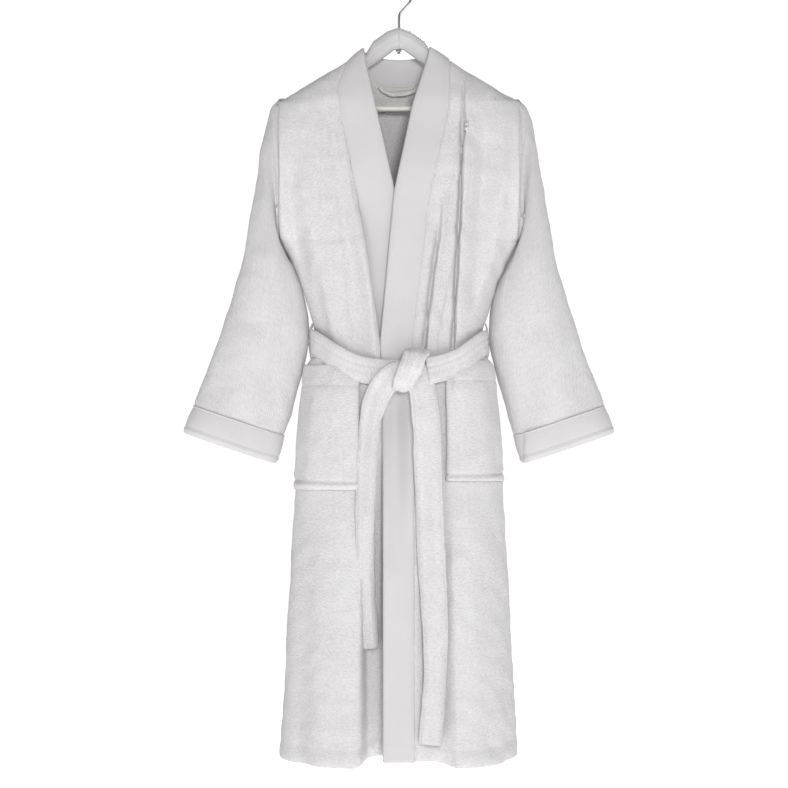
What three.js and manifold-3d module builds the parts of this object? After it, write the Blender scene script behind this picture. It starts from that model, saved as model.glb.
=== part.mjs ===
// A terry bathrobe with a tied belt, hung on a contour hanger.
// Millimetres. +Z is up, the robe's front faces -Y, and +X is the wearer's left.
// The origin is the point inside the hook's crown that rests on the rail.
import * as THREE from 'three';
import ManifoldModule from 'manifold-3d';

const wasm = await ManifoldModule();
wasm.setup();
const { Manifold, Mesh } = wasm;

// ---------- Driving dimensions ----------
// Cloth
const cloth = 4; // terry panel
const bandCloth = 6; // doubled velour collar band and cuffs
const seamGap = 0.4; // room between two sewn edges
const layerGap = 0.6; // room between two layers that lie on each other

// Robe levels, measured down from the rail seat
const collarTopDrop = 110;
const neckPointDrop = 128;
const backNeckDrop = 171;
const shoulderTipDrop = 200;
const armholeHeight = 240;
const waistDrop = 612;
const hipDrop = 760;
const hemDrop = 1316;

// Robe half widths and half depths
const collarHalfWidth = 64;
const neckHalfWidth = 86;
const shoulderHalfWidth = 205;
const waistHalfWidth = 150;
const hipHalfWidth = 170;
const hemHalfWidth = 203;
const armholeHalfDepth = 45;
const neckDepth = 32;
const chestDepth = 64;
const waistDepth = 77;
const hemDepth = 116;
const backShare = 0.85; // the back is this much shallower than the front
const squareness = 2.5; // exponent of the body's sections

// Lapped fronts
const lapWidth = 34; // how far each front's edge passes the middle at the belt
const collarBandWidth = 58;
const hemBandHalfWidth = 25;

// Sleeves
const cuffDepth = 47;
const cuffHalfDepth = 36;

// Belt
const beltWidth = 46;
const beltThickness = 6;
const beltSag = 52; // the belt's middle hangs this far below its sides
const knotHalf = { x: 38, y: 18, z: 33 };
const tailThickness = 8;
const rightTailLength = 420;
const leftTailLength = 588;

// Pockets
const pocketInnerEdge = hemBandHalfWidth + beltWidth + 15; // beside the belt's end
const pocketBottomDrop = 852;
const pocketMouth = 21; // room behind the patch at its open top
const pocketFloor = 13; // and at its bottom
const pocketWall = 4;


// Hanger and hook
const wireRadius = 2;
const hookRadius = 21;
const hangerHalfWidth = shoulderHalfWidth + 12;
const hangerTopDrop = 72;
const hangerNeckHeight = 39;
const barRadius = 4.5;
const barHalfLength = 173;
const barDrop = 211;
const boreGap = 0.3;

// ---------- Materials ----------
const finishes = {
  terry: { color: '#dcd9d4', roughness: 0.95, metalness: 0 },
  velour: { color: '#e3e0db', roughness: 0.85, metalness: 0 },
  tape: { color: '#ece9e3', roughness: 0.7, metalness: 0 },
  hanger_white: { color: '#f1efea', roughness: 0.35, metalness: 0 },
  bar_white: { color: '#ece7da', roughness: 0.45, metalness: 0 },
  chrome: { color: '#b9bcc0', roughness: 0.18, metalness: 1 },
};

function material(finish) {
  const made = new THREE.MeshStandardMaterial(finishes[finish]);
  made.name = finish;
  return made;
}

// ---------- Small tools ----------
const { lerp, clamp, smoothstep, degToRad } = THREE.MathUtils;
const v3 = (x, y, z) => new THREE.Vector3(x, y, z);
const steps = (count) => Array.from({ length: count + 1 }, (_, i) => i / count);

// Straight-line value of a list of [position, value] stops in falling order.
function follow(stops, position) {
  const last = stops.length - 1;
  if (position >= stops[0][0]) return stops[0][1];
  if (position <= stops[last][0]) return stops[last][1];
  const i = stops.findIndex((stop) => stop[0] <= position);
  const share = (stops[i - 1][0] - position) / (stops[i - 1][0] - stops[i][0]);
  return lerp(stops[i - 1][1], stops[i][1], share);
}

// Closed solid between two equal lattices of points, the outer face and the inner face.
// With ring true, each row's last point joins its first.
function latticeSolid(outer, inner, ring = false) {
  const rows = outer.length;
  const columns = outer[0].length;
  const positions = [...outer.flat(), ...inner.flat()].flatMap((p) => [p.x, p.y, p.z]);
  const o = (r, c) => r * columns + (c % columns);
  const n = (r, c) => rows * columns + o(r, c);
  const faces = [];
  const quad = (a, b, c, d) => faces.push(a, b, c, a, c, d);
  const lastColumn = ring ? columns : columns - 1;
  for (let r = 0; r < rows - 1; r++) {
    for (let c = 0; c < lastColumn; c++) {
      quad(o(r, c), o(r + 1, c), o(r + 1, c + 1), o(r, c + 1));
      quad(n(r, c), n(r, c + 1), n(r + 1, c + 1), n(r + 1, c));
    }
  }
  for (let c = 0; c < lastColumn; c++) {
    quad(o(0, c), o(0, c + 1), n(0, c + 1), n(0, c));
    quad(o(rows - 1, c + 1), o(rows - 1, c), n(rows - 1, c), n(rows - 1, c + 1));
  }
  if (!ring) {
    for (let r = 0; r < rows - 1; r++) {
      quad(o(r + 1, 0), o(r, 0), n(r, 0), n(r + 1, 0));
      quad(o(r, columns - 1), o(r + 1, columns - 1), n(r + 1, columns - 1), n(r, columns - 1));
    }
  }
  return outward(positions, faces);
}

// Indexed geometry whose faces point outwards whichever way the lattice ran.
function outward(positions, faces) {
  const at = (i) => v3(positions[3 * i], positions[3 * i + 1], positions[3 * i + 2]);
  let volume = 0;
  for (let f = 0; f < faces.length; f += 3) {
    volume += at(faces[f]).dot(at(faces[f + 1]).cross(at(faces[f + 2])));
  }
  const ordered = volume > 0 ? faces : [...faces].reverse();
  const geometry = new THREE.BufferGeometry();
  geometry.setAttribute('position', new THREE.Float32BufferAttribute(positions, 3));
  geometry.setIndex(ordered);
  return geometry;
}

function toManifold(geometry) {
  const position = geometry.getAttribute('position').array;
  const index = geometry.index.array;
  const mesh = new Mesh({ numProp: 3, vertProperties: position, triVerts: new Uint32Array(index) });
  mesh.merge();
  return new Manifold(mesh);
}

function toGeometry(solid) {
  const mesh = solid.getMesh();
  const geometry = new THREE.BufferGeometry();
  geometry.setAttribute('position', new THREE.Float32BufferAttribute(mesh.vertProperties, 3));
  geometry.setIndex(new THREE.Uint32BufferAttribute(mesh.triVerts, 1));
  return geometry;
}

// Round bar standing on the origin.
function rod(length, radius, sides = 16) {
  return Manifold.cylinder(length, radius, radius, sides);
}

// Round bar swept along a smooth path.
function sweptWire(path, radius, count, sides) {
  const curve = new THREE.CatmullRomCurve3(path);
  const frames = curve.computeFrenetFrames(count);
  const rings = steps(count).map((t, i) => {
    const centre = curve.getPointAt(t);
    return steps(sides).slice(0, sides).map((turn) => {
      const angle = turn * 2 * Math.PI;
      const side = frames.normals[i].clone().multiplyScalar(radius * Math.cos(angle));
      const rise = frames.binormals[i].clone().multiplyScalar(radius * Math.sin(angle));
      return centre.clone().add(side).add(rise);
    });
  });
  return closedRings(rings);
}

// Closed solid from rings of points, each end shut by a fan.
function closedRings(rings) {
  const sides = rings[0].length;
  const points = rings.flat();
  const middle = (ring) => ring.reduce((sum, p) => sum.add(p), v3(0, 0, 0)).divideScalar(sides);
  points.push(middle(rings[0]), middle(rings[rings.length - 1]));
  const first = rings.length * sides;
  const faces = [];
  for (let r = 0; r < rings.length - 1; r++) {
    for (let c = 0; c < sides; c++) {
      const a = r * sides + c;
      const b = r * sides + ((c + 1) % sides);
      faces.push(a, b, b + sides, a, b + sides, a + sides);
    }
  }
  for (let c = 0; c < sides; c++) {
    const next = (c + 1) % sides;
    const end = first - sides;
    faces.push(first, next, c, first + 1, end + c, end + next);
  }
  return outward(points.flatMap((p) => [p.x, p.y, p.z]), faces);
}

// ---------- The body of the robe ----------
const shoulderSlope = (shoulderTipDrop - neckPointDrop) / (shoulderHalfWidth - neckHalfWidth);
const underarmDrop = shoulderTipDrop + armholeHeight;
const armholeMiddle = -(shoulderTipDrop + armholeHeight / 2);

const waistBand = beltWidth / 2 + 10; // straight stretch above and below the waist line
const sideStops = [
  [-underarmDrop, shoulderHalfWidth],
  [-underarmDrop - 35, lerp(shoulderHalfWidth, waistHalfWidth, 0.4)],
  [-underarmDrop - 90, lerp(shoulderHalfWidth, waistHalfWidth, 0.78)],
  [-waistDrop + waistBand, waistHalfWidth],
  [-waistDrop - waistBand, waistHalfWidth],
  [-hipDrop, hipHalfWidth],
  [-hemDrop, hemHalfWidth],
];

// Half width of the body at height z.
function halfWidth(z) {
  if (z > -shoulderTipDrop) return neckHalfWidth + (-neckPointDrop - z) / shoulderSlope;
  return follow(sideStops, z);
}

// Shares of the way from top to bottom: every stop of the side, and steps between them.
function levelShares(top, bottom, longest) {
  const stops = [-shoulderTipDrop, armholeMiddle, ...sideStops.map((stop) => stop[0])];
  const inside = stops.filter((z) => z < top - 5 && z > bottom + 5);
  const marks = [top, ...inside, bottom];
  const shares = [0];
  for (let i = 1; i < marks.length; i++) {
    const count = Math.ceil((marks[i - 1] - marks[i]) / longest);
    steps(count).slice(1).forEach((share) => {
      shares.push((top - lerp(marks[i - 1], marks[i], share)) / (top - bottom));
    });
  }
  return shares;
}

// Depth of the front at its middle.
function frontDepth(z) {
  return follow([
    [-neckPointDrop, neckDepth],
    [-shoulderTipDrop, 0.8 * chestDepth],
    [armholeMiddle, chestDepth],
    [-waistDrop, waistDepth],
    [-hemDrop, hemDepth],
  ], z);
}

// Half the armhole's opening from front to back at height z.
function armholeDepth(z) {
  const share = (z - armholeMiddle) / (armholeHeight / 2);
  return Math.abs(share) < 1 ? armholeHalfDepth * Math.sqrt(1 - share * share) : 0;
}

// A point on the body: turn 0 is a side seam, 90 degrees the middle, side -1 or 1.
function bodyPoint(turn, z, side, lift = 0, back = false) {
  const width = halfWidth(z);
  const depth = frontDepth(z) * (back ? backShare : 1);
  const rim = armholeDepth(z) * (back ? 0.9 : 1);
  const power = 2 / squareness;
  const x = side * width * Math.max(Math.cos(turn), 0) ** power;
  const y = rim + Math.max(depth - rim, 1) * Math.max(Math.sin(turn), 0) ** power;
  const point = v3(x, back ? y : -y, z);
  return lift === 0 ? point : point.addScaledVector(bodyNormal(turn, z, side, back), lift);
}

function bodyNormal(turn, z, side, back) {
  const near = clamp(turn, 0.03, Math.PI / 2 - 0.001);
  const across = bodyPoint(near + 0.01, z, side, 0, back).sub(bodyPoint(near - 0.01, z, side, 0, back));
  const down = bodyPoint(near, z - 4, side, 0, back).sub(bodyPoint(near, z, side, 0, back));
  const normal = across.cross(down).normalize();
  const outwards = v3(side * Math.cos(turn), (back ? 1 : -1) * Math.sin(turn), 0);
  return normal.dot(outwards) < 0 ? normal.negate() : normal;
}

// Depth of the front face at (x, z).
function frontY(x, z) {
  const share = Math.min(Math.abs(x) / halfWidth(z), 1);
  const rim = armholeDepth(z);
  const reach = Math.max(frontDepth(z) - rim, 1);
  return -(rim + reach * (1 - share ** squareness) ** (1 / squareness));
}

// The turn, 0 to pi across the whole front, at which the front passes x. It starts on the given side.
function turnAt(x, z, side) {
  const share = clamp((side * x) / halfWidth(z), -1, 1);
  return Math.acos(Math.sign(share) * Math.abs(share) ** (squareness / 2));
}

// A front point by turns that may pass the middle.
function frontPoint(turn, z, side, lift) {
  const over = turn > Math.PI / 2;
  return bodyPoint(over ? Math.PI - turn : turn, z, over ? -side : side, lift, false);
}

// ---------- Edges of the two fronts ----------
// side -1 is the wearer's right front, which lies underneath; side 1 laps over it.
const lapCross = { x: -7, z: -362 }; // where the two band edges cross
const openEdge = {
  [-1]: [
    [-collarTopDrop, -collarHalfWidth],
    [lapCross.z, lapCross.x],
    [-waistDrop, lapWidth - 8],
    [-waistDrop - 96, lapWidth],
    [-hemDrop, lapWidth],
  ],
  [1]: [
    [-collarTopDrop, collarHalfWidth - 8],
    [-neckPointDrop - 82, 0.38 * collarHalfWidth],
    [lapCross.z, lapCross.x],
    [-waistDrop, -lapWidth + 4],
    [-waistDrop - 96, -hemBandHalfWidth],
    [-hemDrop, -hemBandHalfWidth],
  ],
};
const bandSeam = {
  [-1]: [
    [-neckPointDrop, -neckHalfWidth],
    [-neckPointDrop - 45, -neckHalfWidth - 17],
    [-neckPointDrop - 75, -neckHalfWidth - 15],
    [lapCross.z, lapCross.x - collarBandWidth - 6],
    [-waistDrop, lapWidth - collarBandWidth - 8],
    [-waistDrop - 96, lapWidth - collarBandWidth],
    [-hemDrop, lapWidth - collarBandWidth],
  ],
  [1]: [
    [-neckPointDrop, neckHalfWidth],
    [-neckPointDrop - 86, neckHalfWidth - 2],
    [lapCross.z, lapCross.x + collarBandWidth],
    [-waistDrop, 22],
    [-waistDrop - 96, hemBandHalfWidth],
    [-hemDrop, hemBandHalfWidth],
  ],
};

// How far a front lies off the body: the upper front clears the lower one's band in the lap.
const lapLift = bandCloth + layerGap + 0.3;
function frontLift(side, x, z) {
  if (side < 0) return 0;
  const across = 1 - smoothstep(x, lapWidth + 46, waistHalfWidth - 4);
  const down = 1 - smoothstep(z, lapCross.z + 40, lapCross.z + 150);
  return lapLift * across * down;
}

// The fronts are parted here, under the belt, so that their lower parts can swing.
const flapHinge = { y: -(waistDepth + 3), z: -waistDrop - beltWidth / 2 - 7 };
function partHeight(turn) {
  const middle = Math.sin(Math.min(turn, Math.PI - turn));
  return flapHinge.z - 2 - (beltSag + 16) * middle ** 3;
}
const partGap = 2;

// ---------- Body panels ----------
// Front panel of one side between two heights, each a function of the turn.
function frontPanel(side, top, bottom, spacing, columns) {
  const place = (down, across, lift) => {
    let z = lerp(top(0), bottom(0), down);
    let turn = 0;
    for (let pass = 0; pass < 3; pass++) {
      const seam = follow(bandSeam[side], z) + side * 2.2 * seamGap;
      turn = across * turnAt(seam, z, side);
      z = lerp(top(turn), bottom(turn), down);
    }
    const x = side * halfWidth(z) * Math.cos(turn);
    const point = frontPoint(turn, z, side, frontLift(side, x, z) + lift);
    point.y = Math.min(point.y, -seamGap / 2);
    if (Math.abs(point.x) > shoulderHalfWidth && z > -underarmDrop) point.x = side * shoulderHalfWidth;
    return point;
  };
  const rows = levelShares(top(0), bottom(0), spacing);
  const face = (lift) => rows.map((down) => {
    return steps(columns).map((across) => place(down, across, lift));
  });
  return latticeSolid(face(0), face(-cloth));
}

function frontBodice(side) {
  return frontPanel(side, () => -neckPointDrop - 8, (turn) => partHeight(turn) + partGap, 42, 8);
}

function frontSkirt(side) {
  return frontPanel(side, (turn) => partHeight(turn), () => -hemDrop, 140, 14);
}

// The back is one panel from shoulder to shoulder and down to the hem.
function backPanel() {
  const neckScoop = backNeckDrop - neckPointDrop;
  const top = -neckPointDrop - 1.5;
  const place = (down, across, lift) => {
    const side = across < 0.5 ? -1 : 1;
    const turn = (1 - Math.abs(2 * across - 1)) * (Math.PI / 2);
    const level = lerp(top, -hemDrop, down);
    const fade = 1 - smoothstep(-level, neckPointDrop, underarmDrop);
    const z = level - neckScoop * Math.max(Math.sin(turn), 0) ** 1.5 * fade;
    const point = bodyPoint(turn, Math.max(z, -hemDrop), side, lift, true);
    point.y = Math.max(point.y, seamGap / 2);
    if (Math.abs(point.x) > shoulderHalfWidth && z > -underarmDrop) point.x = side * shoulderHalfWidth;
    return point;
  };
  const face = (lift) => levelShares(top, -hemDrop, 45).map((down) => {
    return steps(18).map((across) => place(down, across, lift));
  });
  return latticeSolid(face(0), face(-cloth));
}

// ---------- Collar and edge bands ----------
// Front band of one side between two shares of its length.
function bandRows(side, top, bottom, rows, lift) {
  return steps(rows).map((down) => {
    const seamZ = lerp(top.seam, bottom, down);
    const edgeZ = lerp(top.edge, bottom, down);
    return steps(3).map((across) => {
      const z = lerp(seamZ, edgeZ, across);
      const x = lerp(follow(bandSeam[side], seamZ), follow(openEdge[side], edgeZ), across);
      const rise = clamp((z + neckPointDrop + 34) / (neckPointDrop + 34 - collarTopDrop), 0, 1);
      const flat = frontY(x, Math.min(z, -neckPointDrop - 34));
      const y = rise > 0 ? flat * Math.sqrt(1 - rise * rise) : frontY(x, z);
      const off = frontLift(side, x, z) + lift;
      const lean = clamp((-neckPointDrop - 20 - z) / 40, 0, 1);
      const sideways = (1 - lean) * side;
      return v3(x + sideways * off, Math.min(y - lean * off, -seamGap), z);
    });
  });
}

function collarBand(side) {
  const top = { seam: -neckPointDrop, edge: -collarTopDrop };
  const bottom = partHeight(Math.PI / 2) + partGap;
  return latticeSolid(bandRows(side, top, bottom, 16, 1), bandRows(side, top, bottom, 16, 1 - bandCloth));
}

function skirtBand(side) {
  const top = { seam: partHeight(Math.PI / 2), edge: partHeight(Math.PI / 2) };
  return latticeSolid(bandRows(side, top, -hemDrop, 8, 1), bandRows(side, top, -hemDrop, 8, 1 - bandCloth));
}

// The band that stands round the back of the neck, between the two shoulder points.
function backNeckBand() {
  const place = (along, up, lift) => {
    const side = along < 0.5 ? -1 : 1;
    const turn = (1 - Math.abs(2 * along - 1)) * (Math.PI / 2);
    const scoop = (backNeckDrop - neckPointDrop) * Math.max(Math.sin(turn), 0) ** 1.5;
    const seam = bodyPoint(turn, -neckPointDrop - 1 - scoop, side, 0, true);
    const topDepth = neckDepth * backShare + 6;
    const edge = v3(side * collarHalfWidth * Math.cos(turn), topDepth * Math.sin(turn), -collarTopDrop);
    edge.z -= 8 * Math.sin(turn);
    const point = seam.lerp(edge, up);
    const outwards = v3(side * Math.cos(turn), Math.sin(turn), 0).multiplyScalar(lift);
    point.add(outwards);
    point.z += 1 + seamGap;
    point.y = Math.max(point.y, seamGap);
    return point;
  };
  const face = (lift) => steps(16).map((along) => steps(3).map((up) => place(along, up, lift)));
  return latticeSolid(face(0), face(-bandCloth));
}

// ---------- Sleeves and cuffs ----------
const armTop = shoulderHalfWidth + 0.6;
const cuffSeamOuter = v3(351, 0, -719);
const cuffSeamInner = v3(196, 0, -771);
const sleeveOuter = [
  v3(armTop, 0, -shoulderTipDrop - 0.5),
  v3(armTop + 12, 0, -shoulderTipDrop - 8),
  v3(armTop + 20, 0, -shoulderTipDrop - 33),
  v3(armTop + 32, 0, -shoulderTipDrop - 99),
  v3(armTop + 62, 0, -shoulderTipDrop - 275),
  v3(armTop + 100, 0, -shoulderTipDrop - 400),
  cuffSeamOuter,
];
const sleeveInner = [
  v3(armTop, 0, -underarmDrop + 0.5),
  v3(armTop - 6, 0, -underarmDrop - 20),
  v3(armTop - 14, 0, -underarmDrop - 46),
  v3(armTop - 22, 0, -underarmDrop - 90),
  v3(waistHalfWidth + 30, 0, -waistDrop),
  v3(waistHalfWidth + 33, 0, -waistDrop - 90),
  cuffSeamInner,
];

// Rings round the arm; each runs from the outer line to the inner line and back.
function sleeveRing(outerPoint, innerPoint, halfDepth, lift) {
  const middle = outerPoint.clone().add(innerPoint).multiplyScalar(0.5);
  const reach = outerPoint.clone().sub(middle);
  const sides = 18;
  return steps(sides).slice(0, sides).map((share) => {
    const angle = share * 2 * Math.PI;
    const long = (reach.length() + lift) / reach.length();
    const point = middle.clone().addScaledVector(reach, long * Math.cos(angle));
    point.y += (halfDepth + lift) * Math.sin(angle);
    return point;
  });
}

function mirrored(rings, side) {
  return rings.map((ring) => ring.map((p) => v3(side * p.x, p.y, p.z)));
}

function sleeve(side) {
  const outerLine = new THREE.CatmullRomCurve3(sleeveOuter, false, 'centripetal');
  const innerLine = new THREE.CatmullRomCurve3(sleeveInner, false, 'centripetal');
  const rings = (lift) => steps(12).map((share) => {
    const depth = lerp(armholeHalfDepth, cuffHalfDepth, smoothstep(share, 0.2, 1));
    return sleeveRing(outerLine.getPoint(share), innerLine.getPoint(share), depth, lift);
  });
  return latticeSolid(mirrored(rings(0), side), mirrored(rings(-cloth), side), true);
}

function cuff(side) {
  const along = cuffSeamInner.clone().sub(cuffSeamOuter).normalize();
  const down = v3(along.z, 0, -along.x).multiplyScalar(along.x > 0 ? 1 : -1).normalize();
  if (down.z > 0) down.negate();
  const rings = (lift) => steps(2).map((share) => {
    const drop = seamGap + share * cuffDepth;
    const outerPoint = cuffSeamOuter.clone().addScaledVector(down, drop).addScaledVector(along, -0.1 * drop);
    const innerPoint = cuffSeamInner.clone().addScaledVector(down, drop).addScaledVector(along, -0.05 * drop);
    return sleeveRing(outerPoint, innerPoint, cuffHalfDepth, lift);
  });
  return latticeSolid(mirrored(rings(1), side), mirrored(rings(1 - bandCloth), side), true);
}

// ---------- Belt ----------
// The belt's middle line: level round the back, sagging to the knot in front.
function beltHeight(turn, back) {
  return -waistDrop - (back ? 0 : beltSag * Math.sin(turn) ** 3);
}

function beltLift(turn, side, back) {
  if (back) return layerGap;
  const x = side * waistHalfWidth * Math.cos(turn);
  return Math.max(frontLift(1, Math.abs(x) < 60 ? 0 : x, -waistDrop), 1) + layerGap;
}

function beltWaist() {
  const around = 40;
  const column = (share, up, lift) => {
    const angle = share * 2 * Math.PI;
    const back = Math.sin(angle) > 0;
    const side = Math.cos(angle) < 0 ? -1 : 1;
    const turn = Math.asin(clamp(Math.abs(Math.sin(angle)), 0, 1));
    const z = beltHeight(turn, back) + up * beltWidth;
    const point = bodyPoint(turn, z, side, beltLift(turn, side, back) + lift, back);
    point.z = z;
    return point;
  };
  const lap = (lift) => [0.5, 0, -0.5].map((up) => {
    return steps(around).slice(0, around).map((share) => column(share, up, lift));
  });
  return latticeSolid(lap(1 + beltThickness), lap(1), true);
}

const beltFront = frontDepth(-waistDrop - beltSag) + lapLift + layerGap + 1 + beltThickness;
const knotMiddle = v3(11, -(beltFront + knotHalf.y), -waistDrop - beltSag + 6);
const tailTopZ = knotMiddle.z - knotHalf.z - 18;
const tails = {
  [-1]: { x: -hemBandHalfWidth - 8 - beltWidth / 2, lean: -3, length: rightTailLength },
  [1]: { x: hemBandHalfWidth + 3 + beltWidth / 2, lean: 12, length: leftTailLength },
};

// Face of the flap that a tail lies on.
function tailRest(side, x, z) {
  return frontY(x, z) - frontLift(side, x, z) - layerGap;
}

function beltKnot() {
  const rings = steps(8).map((share) => {
    const rise = (share - 0.5) * Math.PI * 0.94;
    const round = Math.cos(rise) ** 0.7;
    return steps(18).slice(0, 18).map((turn) => {
      const angle = turn * 2 * Math.PI;
      const x = knotMiddle.x + knotHalf.x * round * Math.sign(Math.cos(angle)) * Math.abs(Math.cos(angle)) ** 0.8;
      const y = knotMiddle.y + knotHalf.y * round * Math.sign(Math.sin(angle)) * Math.abs(Math.sin(angle)) ** 0.8;
      return v3(x, y, knotMiddle.z + knotHalf.z * Math.sin(rise));
    });
  });
  return closedRings(rings);
}

function beltTail(side) {
  const tail = tails[side];
  const face = (off) => steps(12).map((down) => {
    const z = tailTopZ - down * tail.length;
    return [-0.5, 0, 0.5].map((across) => {
      const x = tail.x + tail.lean * (down - 0.3) + across * beltWidth;
      const hang = knotMiddle.y + knotHalf.y - 8;
      const rest = Math.min(tailRest(side, x, z), tailRest(side, tail.x, z));
      const loose = lerp(hang, rest, smoothstep(down, 0, 0.16));
      return v3(x, Math.min(loose, rest) - off, z);
    });
  });
  return latticeSolid(face(tailThickness), face(0));
}

// Thin strap at the side seam that the belt passes through.
function beltLoop(side) {
  const root = waistHalfWidth + 1.6;
  const out = waistHalfWidth + 2 + beltThickness + 2 * layerGap;
  const reach = beltWidth / 2 + 2;
  const wall = 2.5;
  const width = 11;
  const rows = [
    [root, reach + wall],
    [out + wall, reach + wall],
    [out + wall, -reach - wall],
    [root, -reach - wall],
  ];
  const inside = [
    [root, reach],
    [out, reach],
    [out, -reach],
    [root, -reach],
  ];
  const face = (line) => line.map(([x, up]) => {
    return [-0.5, 0.5].map((share) => v3(side * x, share * width, -waistDrop + up));
  });
  return latticeSolid(face(rows), face(inside));
}

// ---------- Pockets ----------
// A patch on each flap that stands off enough for a hand, open at the top.
function pocket(side) {
  const rim = 0.07;
  const acrosses = [0, rim / 2, rim, rim + 0.01, 0.16, 0.25, 0.36, 0.5, 0.65, 0.8, 0.99 - rim, 1 - rim, 1];
  const edgeTop = partHeight(0) - 4;
  const downs = [...levelShares(edgeTop, -pocketBottomDrop, 52).slice(0, -1), 0.95, 0.96, 1];
  const place = (down, across, lift) => {
    let turn = 0;
    let z = flapHinge.z;
    for (let pass = 0; pass < 3; pass++) {
      turn = lerp(0.06, turnAt(side * pocketInnerEdge, z, side), across);
      z = lerp(partHeight(turn) - 4, -pocketBottomDrop, down);
    }
    const x = side * halfWidth(z) * Math.cos(turn);
    return frontPoint(turn, z, side, frontLift(side, x, z) + lift);
  };
  const face = (wall) => downs.map((down) => acrosses.map((across) => {
    const sewn = across <= rim || across >= 1 - rim || down > 0.955;
    return place(down, across, wall + (sewn ? layerGap + 0.3 : lerp(pocketMouth, pocketFloor, down)));
  }));
  return latticeSolid(face(pocketWall), face(0));
}

// ---------- Inside the back neck ----------
// Depth of the back panel's inner face at (x, z).
function backWall(x, z) {
  const share = Math.abs(x) / halfWidth(z);
  return frontDepth(z) * backShare * (1 - share ** squareness) ** (1 / squareness) - cloth;
}

// Narrow strap sewn at both ends, with room behind it for a peg.
function hangingLoop() {
  const topZ = -backNeckDrop - 8;
  const face = (off) => steps(10).map((along) => {
    const x = lerp(-33, 33, along);
    const bow = 8 * smoothstep(along, 0, 0.3) * (1 - smoothstep(along, 0.7, 1));
    const y = backWall(x, topZ) - 1.2 - bow;
    return [0, 1].map((down) => v3(x, y - off, topZ - down * 6));
  });
  return latticeSolid(face(1.2), face(0));
}

function neckLabel() {
  const face = (off) => steps(4).map((along) => {
    const x = lerp(-22, 22, along);
    return steps(2).map((down) => {
      const z = -backNeckDrop - 24 - down * 20;
      return v3(x, backWall(x, z) - 1.6 - off, z);
    });
  });
  return latticeSolid(face(0.8), face(0));
}

// ---------- Hanger and hook ----------
const hangerSeat = 1.17 * cloth + 1.7; // the cloth's wall, square to the slope, and a little room
const hangerTop = [
  [0, -hangerTopDrop],
  [-20, -hangerTopDrop - 7],
  [-44, -hangerTopDrop - 24],
  [-56, -hangerTopDrop - 44],
  [-66, -hangerTopDrop - 51],
  [-neckHalfWidth, -neckPointDrop - hangerSeat],
  [-hangerHalfWidth + 12, -shoulderTipDrop - hangerSeat - 1.6],
  [-hangerHalfWidth, -shoulderTipDrop - 22],
];
const hangerBottom = [
  [0, -hangerTopDrop - hangerNeckHeight],
  [-8, -hangerTopDrop - hangerNeckHeight],
  [-46, -hangerTopDrop - hangerNeckHeight - 28],
  [-120, -barDrop + 25],
  [-160, -barDrop - 2],
  [-178, -barDrop - 12],
  [-hangerHalfWidth + 12, -shoulderTipDrop - 36],
  [-hangerHalfWidth, -shoulderTipDrop - 30],
];

function hangerHalf(side) {
  const places = [0.2, 8, 20, 44, 56, 66, neckHalfWidth, 120, 160, 178, 205, 212, hangerHalfWidth];
  const rings = places.map((x) => {
    const top = follow(hangerTop, -x);
    const bottom = follow(hangerBottom, -x);
    const depth = lerp(8, 13, smoothstep(x, 30, 110)) * (1 - 0.5 * smoothstep(x, 140, hangerHalfWidth));
    return steps(14).slice(0, 14).map((share) => {
      const angle = (share + 1 / 28) * 2 * Math.PI;
      const soft = (value) => Math.sign(value) * Math.abs(value) ** 0.8;
      const y = depth * soft(Math.cos(angle));
      return v3(side * x, y, (top + bottom) / 2 + ((top - bottom) / 2) * soft(Math.sin(angle)));
    });
  });
  const arm = toManifold(closedRings(rings));
  const stemBore = rod(120, wireRadius + boreGap).translate(0, 0, -160);
  const barLength = 2 * (barHalfLength + boreGap);
  const barBore = rod(barLength, barRadius + boreGap).rotate([0, 90, 0]).translate(-barLength / 2, 0, -barDrop);
  return toGeometry(arm.subtract(stemBore).subtract(barBore));
}

function trouserBar() {
  const bar = rod(2 * barHalfLength, barRadius).rotate([0, 90, 0]).translate(-barHalfLength, 0, -barDrop);
  return toGeometry(bar);
}

const stemEnd = -hangerTopDrop - hangerNeckHeight - 4.5;
function hook() {
  const crownZ = wireRadius - hookRadius;
  const path = [];
  for (let angle = 195; angle > -45; angle -= 15) {
    const turn = degToRad(angle);
    path.push(v3(hookRadius * Math.cos(turn), 0, crownZ + hookRadius * Math.sin(turn)));
  }
  path.push(v3(6, 0, crownZ - 24), v3(0.8, 0, crownZ - 31), v3(0, 0, crownZ - 40));
  path.push(v3(0, 0, -75), v3(0, 0, -95), v3(0, 0, stemEnd));
  const wire = toManifold(sweptWire(path, wireRadius, 34, 8));
  const headZ = stemEnd - 1.5;
  const head = rod(2, wireRadius + 1.2).translate(0, 0, headZ);
  return toGeometry(wire.add(head));
}

function hookWasher() {
  const seat = -hangerTopDrop - hangerNeckHeight - boreGap;
  const ring = rod(2, 5.5).subtract(rod(4, wireRadius + boreGap).translate(0, 0, -1));
  return toGeometry(ring.translate(0, 0, seat - 2));
}

// ---------- Assembly ----------
const robe = new THREE.Group();
robe.name = 'bathrobe';

function add(name, geometry, finish) {
  const mesh = new THREE.Mesh(geometry, material(finish));
  mesh.name = name;
  robe.add(mesh);
}

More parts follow.
